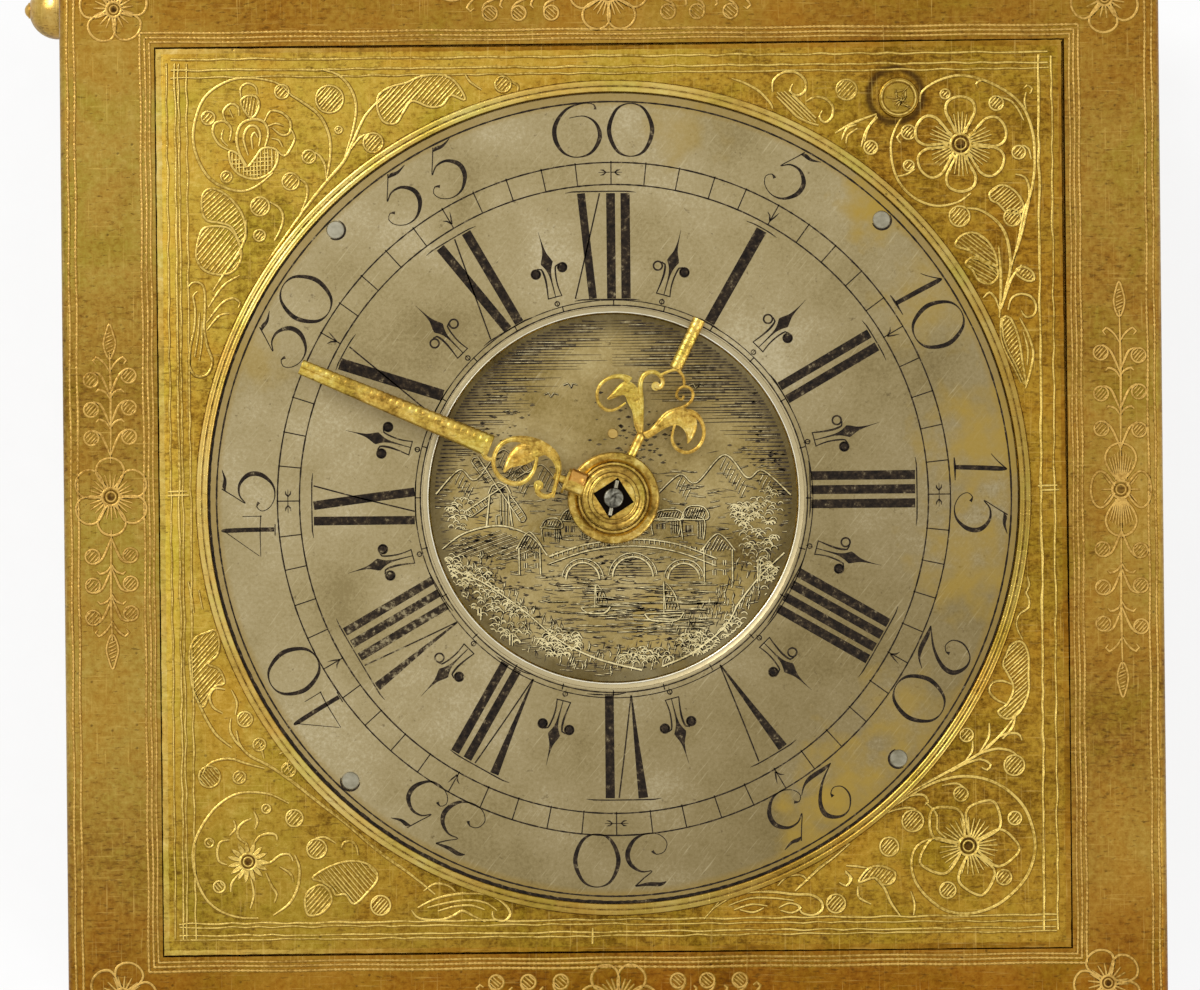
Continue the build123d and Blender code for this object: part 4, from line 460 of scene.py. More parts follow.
def silvered(name, shades, stains, dull, bands=(), washes=(), specks=0.3, grit=0.3):
    """Silvered brass: a fine matt grain of strength grit, cloudy tarnish, brass stains as (x, y,
    reach in mm, strength) and bands (inner radius, outer radius, softness in mm, colour,
    strength): rings that show rubbed silver, dirt, a painted highlight and painted shade."""
    made, tree = material(name)
    where = add(tree, "TexCoord").outputs["Object"]
    clouds = add(tree, "TexNoise", {"Vector": where, "Scale": 1 / 0.012, "Detail": 6.0,
                                    "Roughness": 0.6})
    grain = add(tree, "TexNoise", {"Vector": where, "Scale": 1 / 0.0004, "Detail": 3.0,
                                   "Roughness": 0.7})
    level = add(tree, "Math", {0: grain.outputs["Fac"], 1: grit, 2: clouds.outputs["Fac"]},
                operation="MULTIPLY_ADD")
    level = add(tree, "Math", {0: level.outputs[0], 1: (grit - 0.3) / 2}, operation="SUBTRACT")
    tone = add(tree, "ValToRGB", {"Fac": level.outputs[0]}, shades)
    colour = tone.outputs[0]
    for hue, heading, start, stop in washes:
        colour = wash(tree, where, colour, hue, heading, start, stop)
    ragged = add(tree, "TexNoise", {"Vector": where, "Scale": 1 / 0.003, "Detail": 4.0})
    # specks of dirt 0.2 to 0.5 mm across, and hair scratches from polishing
    dirt = add(tree, "TexNoise", {"Vector": where, "Scale": 1 / 0.0009, "Detail": 5.0,
                                  "Roughness": 0.72})
    dirt = add(tree, "MapRange", {"Value": dirt.outputs["Fac"], "From Min": 0.62,
                                  "From Max": 0.74, "To Min": 0.0, "To Max": specks})
    colour = add(tree, "Mix", {0: dirt.outputs[0], 6: colour, 7: paint("#4A3A22")},
                 data_type="RGBA").outputs[2]
    hairs = add(tree, "Mapping", {"Vector": where, "Rotation": (0, 0, 0.9),
                                  "Scale": (0.004, 0.0002, 1)}, vector_type="TEXTURE")
    hairs = add(tree, "TexNoise", {"Vector": hairs.outputs[0], "Scale": 1.0, "Detail": 2.0})
    hairs = add(tree, "MapRange", {"Value": hairs.outputs["Fac"], "From Min": 0.62,
                                   "From Max": 0.8, "To Min": 0.0, "To Max": 0.4})
    colour = add(tree, "Mix", {0: hairs.outputs[0], 6: colour, 7: paint("#CBBE98")},
                 data_type="RGBA").outputs[2]
    flat = add(tree, "Mapping", {"Vector": where, "Scale": (1, 1, 0)})
    out = add(tree, "VectorMath", {0: flat.outputs[0]}, operation="LENGTH")
    out = add(tree, "Math", {0: ragged.outputs["Fac"], 1: 0.0006, 2: out.outputs["Value"]},
              operation="MULTIPLY_ADD")
    for inner, outer, soft_mm, hue, strength in bands:
        rise = add(tree, "MapRange", {"Value": out.outputs[0],
                                      "From Min": (inner + .3 - soft_mm) / 1000,
                                      "From Max": (inner + .3 + soft_mm) / 1000})
        fall = add(tree, "MapRange", {"Value": out.outputs[0],
                                      "From Min": (outer + .3 - soft_mm) / 1000,
                                      "From Max": (outer + .3 + soft_mm) / 1000,
                                      "To Min": strength, "To Max": 0.0})
        band = add(tree, "Math", {0: rise.outputs[0], 1: fall.outputs[0]}, operation="MULTIPLY")
        colour = add(tree, "Mix", {0: band.outputs[0], 6: colour, 7: paint(hue)},
                     data_type="RGBA").outputs[2]
    for x, y, reach, strength in stains:
        gap = add(tree, "VectorMath", {0: where, 1: (x / 1000, y / 1000, ring_top / 1000)},
                  operation="DISTANCE")
        gap = add(tree, "Math", {0: ragged.outputs["Fac"], 1: reach * 2.4 / 1000,
                                 2: gap.outputs["Value"]}, operation="MULTIPLY_ADD")
        near = add(tree, "MapRange", {"Value": gap.outputs[0], "From Min": reach * 1.3 / 1000,
                                      "From Max": reach * 2.2 / 1000, "To Min": strength,
                                      "To Max": 0.0})
        colour = add(tree, "Mix", {0: near.outputs[0], 6: colour, 7: paint("#A18538")},
                     data_type="RGBA").outputs[2]
    matt = add(tree, "MapRange", {"Value": level.outputs[0], "From Min": 0.4, "From Max": 0.9,
                                  "To Min": dull + 0.1, "To Max": dull - 0.08})
    bump = add(tree, "Bump", {"Height": grain.outputs["Fac"], "Strength": 0.3,
                              "Distance": 0.00003})
    metal = add(tree, "BsdfPrincipled", {"Base Color": colour, "Metallic": 1.0,
                                         "Roughness": matt.outputs[0],
                                         "Normal": bump.outputs[0]})
    add(tree, "OutputMaterial", {"Surface": metal.outputs[0]})
    return made


# The first band is a painted highlight on the ring's inner bevel; the wash is painted shade, darker
# towards the lower right, away from the lamp.
ring_silver = silvered("matt_silvering",
                       [(0.42, "#84754F"), (0.58, "#968760"), (0.74, "#A3946E"),
                        (0.92, "#BDB08D")],
                       [(30, 33, 5.5, 0.85), (42, 6, 8, 0.7), (40, -8, 7, 0.6),
                        (26, -33, 7, 0.7), (33, -25, 6, 0.5), (22, -38, 5, 0.6),
                        (8, 42, 5, 0.35), (-40, 16, 4, 0.35), (36, 22, 6, 0.45)],
                       dull=0.45, specks=0.7, grit=0.55,
                       bands=[(20.5, 21.85, .1, "#B9AB86", .6),
                              (44.6, 46.5, .35, "#8E7436", .55)],
                       washes=[("#D3CEC2", (0.75, -0.65), -5, 42)])
dress(ring_silver, "chapter_ring")

# The ring's inner edge was turned to a fine lip; its near-white silver is rubbed silver and a painted
# highlight of the sharp edge.
lip_silver = silvered("rubbed_silver_painted_highlight", [(0.4, "#CFC4A2"), (0.6, "#E4DCC2"),
                                               (0.85, "#F4EFDC")], [], dull=0.3)
lip_level = 86.1
washer("ring_inner_lip", lip_level, [(20.97, -.3), (20.97, .32), (21.0, .42), (21.06, .46),
                                     (21.13, .46)], lip_silver, "case",
       sides=240)
washer("ring_shoulder", lip_level, [(21.15, .48), (21.4, .52), (21.75, .69)], ring_silver,
       "case", ragged=.01, sides=240)

# Black engraver's wax, dull and cracked: dark brown, with silver showing where it fell out,
# most of all from the eighth hour.
wax, tree = material("cracked_engraving_wax")
where = add(tree, "TexCoord").outputs["Object"]
crumb = add(tree, "TexNoise", {"Vector": where, "Scale": 1 / 0.0006, "Detail": 4.0,
                               "Roughness": 0.7})
eighth = add(tree, "VectorMath", {0: where, 1: (-0.0245, -0.0145, ring_top / 1000)},
             operation="DISTANCE")
lost = add(tree, "MapRange", {"Value": eighth.outputs["Value"], "From Min": 0.004,
                              "From Max": 0.011, "To Min": 0.1, "To Max": 0.0})
worn = add(tree, "Math", {0: crumb.outputs["Fac"], 1: lost.outputs[0]}, operation="ADD")
tone = add(tree, "ValToRGB", {"Fac": worn.outputs[0]},
           [(0.36, "#120D09"), (0.54, "#2A2117"), (0.63, "#463A28"), (0.73, "#8E8160")])
bump = add(tree, "Bump", {"Height": crumb.outputs["Fac"], "Strength": 0.5, "Distance": 0.00005})
filling = add(tree, "BsdfPrincipled", {"Base Color": tone.outputs[0], "Roughness": 0.75,
                                       "Specular IOR Level": 0.12,
                                       "Normal": bump.outputs[0]})
add(tree, "OutputMaterial", {"Surface": filling.outputs[0]})


def smooth(points, step, looped=False):
    """A curve through points (x, y, width) in mm, sampled every step mm."""
    ring = list(points)
    ends = ([ring[-1]] + ring + ring[:2]) if looped else ([ring[0]] + ring + [ring[-1]])
    made = []
    for a, b, c, d in zip(ends, ends[1:], ends[2:], ends[3:]):
        count = max(1, int(math.dist(b[:2], c[:2]) / step))
        for i in range(count):
            t = i / count
            made.append(tuple(
                0.5 * (2 * q + (r - p) * t + (2 * p - 5 * q + 4 * r - s) * t * t
                       + (3 * q - p - 3 * r + s) * t ** 3)
                for p, q, r, s in zip(a, b, c, d)))
    made.append(tuple(ring[0] if looped else ring[-1]))
    return made


def heading_at(line, i):
    """A line's unit heading (x, y) at its point i, and the distance between the neighbours."""
    ahead, behind = line[min(i + 1, len(line) - 1)], line[max(i - 1, 0)]
    dx, dy = ahead[0] - behind[0], ahead[1] - behind[1]
    size = math.hypot(dx, dy) or 1.0
    return dx / size, dy / size, size


def engrave(name, cuts, level, burr, finishes, body):
    """One mesh of cuts, each a list of (x, y, width) in mm: flat where burr is 0, else a bright
    burr that many mm high with dirt and painted shade along its feet. level is the surface's
    height in mm."""
    verts, faces, sorts = [], [], []
    foot = 0.012
    for cut in cuts:
        faces += strip(len(verts), len(cut), 5 if burr else 2)
        sorts += ([1, 0, 0, 1] if burr else [0]) * (len(cut) - 1)
        for i, (x, y, w) in enumerate(cut):
            dx, dy, _ = heading_at(cut, i)
            half = max(w, 0.02) / 2
            # painted shade: the dark strip beside a burr is wider on the side that faces away from the
            # lamp
            left, right = (0.05, 0.11) if -dy * 0.6 - dx * 0.8 < 0 else (0.11, 0.05)
            rows = [(half, 0.0), (-half, 0.0)]
            if burr:
                rows = [(half + left, foot), (half, foot), (0, burr * min(1, w / 0.25)),
                        (-half, foot), (-half - right, foot)]
            for side, lift in rows:
                verts.append((x - dy * side, y + dx * side, level + lift))
    made = piece(name, verts, faces, finishes, body, False)
    made.data.polygons.foreach_set("material_index", sorts)
    return made


def turn(points, bearing, radius):
    """Points drawn upright round (0, 0) set at radius on the dial, their top outwards."""
    angle = math.radians(bearing)
    s, c = math.sin(angle), math.cos(angle)
    return [((radius + y) * s + x * c, (radius + y) * c - x * s, w) for x, y, w in points]


def circle(x, y, radius, width, start=0.0, stop=360.0, step=0.4):
    """An arc of bearings start to stop round (x, y)."""
    count = max(8, int(math.radians(abs(stop - start)) * radius / step))
    made = []
    for i in range(count + 1):
        angle = math.radians(start + (stop - start) * i / count)
        made.append((x + radius * math.sin(angle), y + radius * math.cos(angle), width))
    return made


wax_cuts = []
track_radius = 36.9
figure_radius = 42.0
hour_radius = 28.5
spear_radius = 27.6
pin_radius = 43.8
graver = random.Random(7)

# circles of the minute band, the ring's edges and the two at the numerals' feet
for radius, width in ((45.05, 0.2), (38.15, 0.17), (35.65, 0.17), (22.55, 0.12), (21.95, 0.16)):
    rough = circle(0.05, -0.12, radius, width)
    wax_cuts.append([(x, y, w * graver.uniform(0.75, 1.2)) for x, y, w in rough])
# painted shade: a dark line in the gap between the ring and its rim, thickest at the lower left
ring_gap_shade = circle(0, 0, 45.86, .1)
wax_cuts.append([(x, y, max(.04, .2 - (x * .5 + y * .8) / 46 * .26) * graver.uniform(.75, 1.15))
                 for x, y, w in ring_gap_shade])
for minute in range(60):
    wax_cuts.append(turn([(0, -1.3, 0.13), (0, 1.3, 0.13)], minute * 6 + graver.uniform(-.15, .15),
                         track_radius))
for hour in range(12):
    # each fifth minute has two barbs like an arrow's; each quarter has a feather on both sides
    barbs = [[(0, -.85, .2), (-.32, -.3, .17), (-.72, -.05, .05)],
             [(0, -.85, .2), (.3, -.15, .16), (.5, .45, .04)]]
    if hour % 3 == 0:
        barbs = []
        for side in (-1, 1):
            barbs += [[(side * .05, .02, .09), (side * .6, .02, .1), (side * 1.35, 0, .05)],
                      [(side * .5, .02, .12), (side * .8, .25, .18), (side * 1.15, .3, .04)],
                      [(side * .5, 0, .12), (side * .8, -.25, .18), (side * 1.15, -.33, .04)]]
    wax_cuts += [turn(barb, hour * 30, track_radius) for barb in barbs]
for tick in range(24):
    wax_cuts.append(turn([(0, -0.7, 0.13), (0, 0.0, 0.13)], tick * 15 + 0.6, 22.5))

# Arabic minutes, cut with a swelling line; (x, y, width) about the middle of a 6 mm figure
figures = {
    "0": [([(0, 3.0, .12), (-1.6, 2.3, .3), (-2.45, 0, .5), (-1.6, -2.3, .35), (0, -3.0, .12),
            (1.6, -2.3, .35), (2.45, 0, .5), (1.6, 2.3, .3)], True)],
    "1": [([(.25, 3.0, .12), (.22, 2.4, .5), (.1, 0, .55), (0, -2.9, .5)], False),
          ([(-1.5, 1.2, .07), (-.7, 1.9, .12), (.25, 2.95, .16)], False),
          ([(-1.1, -3.0, .12), (0, -2.92, .26), (1.5, -2.9, .08)], False)],
    "2": [([(-.6, .5, .42), (-.55, .1, .14), (-1.2, -.35, .1), (-2.1, .1, .13), (-2.3, 1.4, .2),
            (-1.4, 2.7, .14), (-.1, 2.85, .3), (1.1, 1.9, .55), (1.0, .4, .45),
            (-.3, -1.4, .26), (-2.3, -2.9, .1)], False),
          ([(-2.3, -2.9, .1), (-1.2, -2.72, .45), (.5, -2.62, .5), (1.6, -2.2, .22),
            (2.4, -1.4, .07)], False)],
    "3": [([(-2.2, 2.45, .1), (-1.5, 2.75, .45), (-.2, 2.72, .42), (1.3, 2.95, .14)], False),
          ([(1.3, 2.95, .16), (.4, 2.1, .14), (-.6, 1.25, .11), (.6, 1.3, .2), (1.8, .5, .45),
            (2.15, -.8, .55), (1.4, -2.3, .36), (0, -3.0, .14), (-1.4, -2.9, .1),
            (-2.3, -2.0, .1), (-2.0, -.95, .1), (-1.1, -.65, .12), (-.65, -1.05, .36)], False)],
    "4": [([(0, 3.1, .1), (0, 2.6, .48), (.08, 0, .5), (.1, -2.9, .48)], False),
          ([(-.1, 2.7, .1), (-1.4, .9, .08), (-2.9, -1.2, .07)], False),
          ([(-3.0, -1.35, .07), (0, -1.3, .12), (1.7, -1.4, .11)], False),
          ([(1.6, .7, .08), (1.62, -1.5, .1)], False),
          ([(-.6, -3.0, .12), (.7, -3.0, .12)], False)],
    "5": [([(.15, 2.6, .1), (.6, 2.72, .45), (1.4, 2.62, .32), (2.5, 2.95, .06)], False),
          ([(.35, 3.0, .16), (-.4, 1.8, .12), (-1.3, .35, .12), (-.4, 1.0, .18),
            (.9, .95, .32), (1.95, -.1, .52), (1.9, -1.5, .5), (.8, -2.75, .26),
            (-.6, -3.0, .12), (-1.8, -2.4, .1), (-2.2, -1.5, .1), (-1.7, -.95, .12),
            (-1.2, -1.2, .36)], False)],
    "6": [([(2.05, 2.35, .32), (1.9, 2.9, .14), (.7, 3.05, .12), (-1.2, 2.4, .28),
            (-2.45, .7, .48), (-2.5, -1.0, .5), (-1.6, -2.5, .28), (-.1, -3.05, .12),
            (1.6, -2.5, .3), (2.55, -.8, .48), (2.1, .8, .3), (.8, 1.6, .13),
            (-.9, 1.4, .08)], False)],
}
minutes = [("6", -3.7, "0", 2.35, -.3), (None, 0, "5", -.7, -.25), ("1", -2.7, "0", 1.8, -.3),
           ("1", -3.1, "5", 2.0, -.35), ("2", -2.75, "0", 2.8, -.65), ("2", -3.6, "5", 1.1, -.7),
           ("3", -3.35, "0", 2.3, -.9), ("3", -3.0, "5", 1.65, -.95), ("4", -3.7, "0", 1.5, -.8),
           ("4", -3.3, "5", 1.1, -.6), ("5", -3.2, "0", 2.5, -.55), ("5", -3.7, "5", 2.2, -.4)]
for place, (tens, tens_x, ones, ones_x, lift) in enumerate(minutes):
    for figure, shift in ((tens, tens_x), (ones, ones_x)):
        for line, looped in figures.get(figure, ()):
            stroke = [(x + shift, y + lift, w) for x, y, w in smooth(line, 0.25, looped)]
            wax_cuts.append(turn(stroke, place * 30, figure_radius))

# Roman hours: thick and thin strokes as (top x, foot x, top width, foot width), then the
# serif lines' ends at the top and at the foot
hours = [
    ([(-3.35, -2.1, .9, .9), (-1.25, -4.1, .17, .16), (0, 0, 1, 1), (1.65, 1.65, 1.05, 1.05)],
     (-5.15, 2.9), (-4.2, 3.3), 6.2, -6.05),
    ([(-.3, -.3, 1.25, 1.2)], (-2.3, 1.6), (-2.05, 1.4), 6.35, -6.0),
    ([(-1.3, -1.3, 1.05, 1.0), (.4, .4, 1.05, 1.0)], (-3.0, 2.3), (-3.0, 2.0), 6.1, -6.0),
    ([(-2.3, -2.3, 1.05, 1), (-.7, -.7, 1.05, 1), (.9, .9, 1.05, 1)], (-4.3, 3.5), (-4, 2.5),
     5.85, -6.25),
    ([(-2.95, -2.95, 1.05, 1.1), (-1.4, -1.4, 1.05, 1), (.2, .2, 1.05, 1), (1.75, 1.75, 1.1, 1)],
     (-5.15, 4.05), (-4.6, 3.8), 5.75, -6.25),
    ([(-2.15, -.8, 1.15, .15), (1.0, -.75, .17, .16)], (-3.9, 2.2), None, 5.75, -6.2),
    ([(-3.05, -1.8, 1.1, .15), (-.3, -1.75, .17, .16), (.7, .7, 1.05, 1)], (-5.1, 3.4),
     (-1.2, 3.2), 5.7, -6.25),
    ([(-3.6, -2.2, 1.0, .15), (-1.1, -2.15, .17, .16), (-.1, -.1, 1, .95), (1.5, 1.5, 1, .95)],
     (-5.6, 2.15), (-1.6, 2.9), 5.55, -6.3),
    ([(-4.8, -3.15, 1.0, .15), (-2.0, -3.1, .17, .16), (-.9, -.9, .95, .9), (.8, .8, .95, .9),
      (2.4, 2.4, .95, .9)], (-6.5, 4.2), (-1.8, 4.0), 5.6, -6.2),
    ([(-2.3, -2.3, 1, .95), (-.55, .9, 1.0, 1.0), (1.7, -1.3, .17, .16)], (-4.2, 3.15),
     (-3.1, 2.7), 5.65, -6.1),
    ([(-2.0, .6, 1.35, 1.3), (.2, -1.9, .17, .16)], (-2.9, 1.8), (-2.4, 2.1), 6.15, -6.1),
    ([(-2.5, -.6, 1.05, 1.05), (-.6, -2.85, .17, .16), (.9, .9, 1.1, 1.05)], (-4.3, 2.2),
     (-3.9, 2.5), 6.05, -6.1),
]
for place, (strokes, head, foot, top, low) in enumerate(hours):
    for top_x, foot_x, top_w, foot_w in strokes:
        line = [(top_x, top - .15, top_w), ((top_x + foot_x) / 2, 0, (top_w + foot_w) / 2),
                (foot_x, low + .15, foot_w)]
        wax_cuts.append(turn(smooth(line, 1.0), place * 30, hour_radius))
    for ends, y in ((head, top), (foot, low)):
        if ends:
            line = [(ends[0], y - .12, .05), (ends[0] + .8, y + .02, .15), (0, y + .06, .13),
                    (ends[1] - .8, y + .02, .15), (ends[1], y - .08, .04)]
            wax_cuts.append(turn(smooth(line, 0.5), place * 30, hour_radius))

# half-hour marks: a spear between two berries on curling stalks, over a small ball
for place in range(12):
    spear = [(0, 3.7, .03), (.03, 2.5, .12), (.02, 1.3, .42), (0, .35, 1.2), (0, .05, 1.4),
             (0, -.5, .8), (-.02, -1.5, .25), (-.08, -3.9, .09)]
    lines = [smooth(spear, 0.2),
             smooth([(-1.25, -.3, .1), (-.8, -.5, .2), (-.65, -1.5, .24), (-.75, -2.7, .18),
                     (-.95, -3.9, .12)], .3),
             smooth([(1.25, -.35, .1), (.85, -.55, .18), (.6, -1.5, .18), (.5, -2.7, .16),
                     (.62, -3.9, .12)], .3),
             [(-1.0, -3.9, .13), (.7, -3.92, .13)],
             circle(-.12, -4.7, .26, .14, step=.15), [(-.12, -4.35, .1), (-.12, -5.2, .05)]]
    for x in (-1.55, 1.55):
        full = graver.random() < .6
        lines.append(circle(x, -.85, .5, .2, step=.15))
        if full:
            lines.append([(x - .5, -.85, .2), (x - .25, -.85, .85), (x + .25, -.85, .85),
                          (x + .5, -.85, .2)])
    for line in lines:
        wax_cuts.append(turn(line, 15 + place * 30 - .3, spear_radius))

# dirt drawn in round the four pins
for bearing, start in ((44.5, 60), (314.5, 20), (223.5, 100), (133, 150)):
    x, y, _ = turn([(0, 0, 0)], bearing, pin_radius)[0]
    arc = circle(x, y, 1.1, 0.14, start, start + 190, .15)
    wax_cuts.append([(u, v, .06 + .24 * math.sin(math.pi * i / len(arc)))
                     for i, (u, v, _) in enumerate(arc)])

engrave("ring_engraving", wax_cuts, ring_top + 0.015, 0, [wax], "case")

# The disc's silver has gone brown; the dark band round its edge, darkest under the ring's edge, is
# tarnish and painted shade in the recess.
disc_silver = silvered("dark_silvering",
                       [(0.4, "#4E3E20"), (0.53, "#867342"), (0.68, "#A28F5E"),
                        (0.9, "#C8B786")], [(-14, -2, 5, .4), (4, -15, 5, .4), (14, -12, 4, .3)],
                       dull=0.4, bands=[(18.9, 22, 1.0, "#2C2214", .62)], specks=0.85)
dress(disc_silver, "centre_disc")


# Engraving of the dial plate
# Flowers, berries on curling stalks and hatched leaves, cut by hand with a round graver before
# gilding, inside lines scribed along the edges. Rubbing has left the burrs bright and the rest dull;
# the burrs' light colour is partly a painted highlight.

def cut_gilt(name, dark, light, dull):
    """The bright edge of a graver's cut: gilding rubbed to beads about 0.3 mm long, its light colour
    partly a painted highlight.
    """
    made, tree = material(name)
    where = add(tree, "TexCoord").outputs["Object"]
    beads = add(tree, "TexNoise", {"Vector": where, "Scale": 1 / 0.00035, "Detail": 2.0})
    wear = add(tree, "TexNoise", {"Vector": where, "Scale": 1 / 0.006, "Detail": 3.0})
    level = add(tree, "Math", {0: wear.outputs["Fac"], 1: 0.8, 2: beads.outputs["Fac"]},
                operation="MULTIPLY_ADD")
    tone = add(tree, "ValToRGB", {"Fac": level.outputs[0]}, [(0.62, dark), (1.0, light)])
    matt = add(tree, "MapRange", {"Value": beads.outputs["Fac"], "To Min": dull + 0.15,
                                  "To Max": dull - 0.1})
    bump = add(tree, "Bump", {"Height": beads.outputs["Fac"], "Strength": 0.5,
                              "Distance": 0.00008})
    metal = add(tree, "BsdfPrincipled", {"Base Color": tone.outputs[0], "Metallic": 1.0,
                                         "Roughness": matt.outputs[0],
                                         "Normal": bump.outputs[0]})
    add(tree, "OutputMaterial", {"Surface": metal.outputs[0]})
    return made


# Brown along the feet of the bright burrs is old dirt and painted shade.
plate_cut = cut_gilt("rubbed_graver_cut_and_painted_highlight", "#96772A", "#D8BA64", 0.36)
plate_cut_dirt_and_shade = fire_gilt("dirt_and_painted_shade_in_the_cuts", [(0.3, "#5E4516"), (0.5, "#775A20"),
                                            (0.8, "#8F7130")],
                       pit_share=0.1, rub=0.5, dull=0.5)


def swell(points, width=0.3, step=0.3, thin=0.35):
    """A graver's stroke through points (x, y) in mm: it starts thin, swells and runs out."""
    count = len(points) - 1
    drawn = [(x, y, width * (thin + (1 - thin) * math.sin(math.pi * min(1, max(0, i / count)))
                             ** 0.6)) for i, (x, y) in enumerate(points)]
    return smooth(drawn, step)


def outlined(points, width=0.26, step=0.3):
    """A closed outline through points (x, y) in mm, cut at one width."""
    return smooth([(x, y, width) for x, y in points], step, True)


def hatch(points, slope, gap=0.42, width=0.17, inset=0.12):
    """Parallel strokes at slope degrees that fill the closed outline points."""
    angle = math.radians(slope)
    c, s = math.cos(angle), math.sin(angle)
    turned = [(x * c + y * s, y * c - x * s) for x, y, *_ in points]
    low, high = min(v for _, v in turned), max(v for _, v in turned)
    made = []
    row = low + gap * 0.6
    while row < high:
        hits = []
        for (u0, v0), (u1, v1) in zip(turned, turned[1:] + turned[:1]):
            if (v0 > row) != (v1 > row):
                hits.append(u0 + (u1 - u0) * (row - v0) / (v1 - v0))
        hits.sort()
        for a, b in zip(hits[::2], hits[1::2]):
            a, b = a + inset + graver.uniform(0, .15), b - inset - graver.uniform(0, .15)
            if b - a > 0.2:
                line = [(a, row, width * .5), ((a + b) / 2, row + graver.uniform(-.05, .05), width),
                        (b, row, width * .4)]
                made.append([(u * c - v * s, u * s + v * c, w) for u, v, w in line])
        row += gap * graver.uniform(.85, 1.15)
    return made


def berry(x, y, radius, slope=48):
    """A round berry, hatched."""
    outline = circle(x, y, radius, 0.2, step=.25)
    return [outline] + hatch(outline[:-1], slope, 0.36, 0.16)


def leaf(points, slope, gap=0.42):
    """An outlined leaf, hatched."""
    outline = outlined(points)
    return [outline] + hatch(outline[:-1], slope, gap)


hearts = []


def flower(x, y, angles, profile, heart, rays=5, reach=0.55, width=0.28):
    """Petals round a plain heart: profile is one petal's side as (along, across) in mm."""
    made = [circle(x, y, heart, 0.3, step=.2), circle(x, y, heart * .55, 0.12, step=.2)]
    hearts.append([(x - heart * .85, y, heart * .9), (x - heart * .5, y, heart * 1.6),
                   (x, y, heart * 1.9), (x + heart * .5, y, heart * 1.6),
                   (x + heart * .85, y, heart * .9)])
    for angle in angles:
        a = math.radians(angle + graver.uniform(-2, 2))
        c, s = math.cos(a), math.sin(a)
        side = profile + [(u, -v) for u, v in reversed(profile[:-1])]
        made.append(smooth([(x + u * c - v * s, y + u * s + v * c, width * graver.uniform(.8, 1.1))
                            for u, v in side], .3))
        length = profile[-1][0]
        for i in range(rays):
            spread = (i - (rays - 1) / 2) / max(1, rays - 1)
            u0, u1 = heart + .1, heart + (length - heart) * reach * (1 - abs(spread) * .5)
            v0, v1 = spread * heart * 1.1, spread * profile[len(profile) // 2][1] * 1.5
            made.append([(x + u * c - v * s, y + u * s + v * c, w)
                         for u, v, w in ((u0, v0, .2), ((u0 + u1) / 2, (v0 + v1) / 2, .16),
                                         (u1, v1, .05))])
    return made


cuts = []

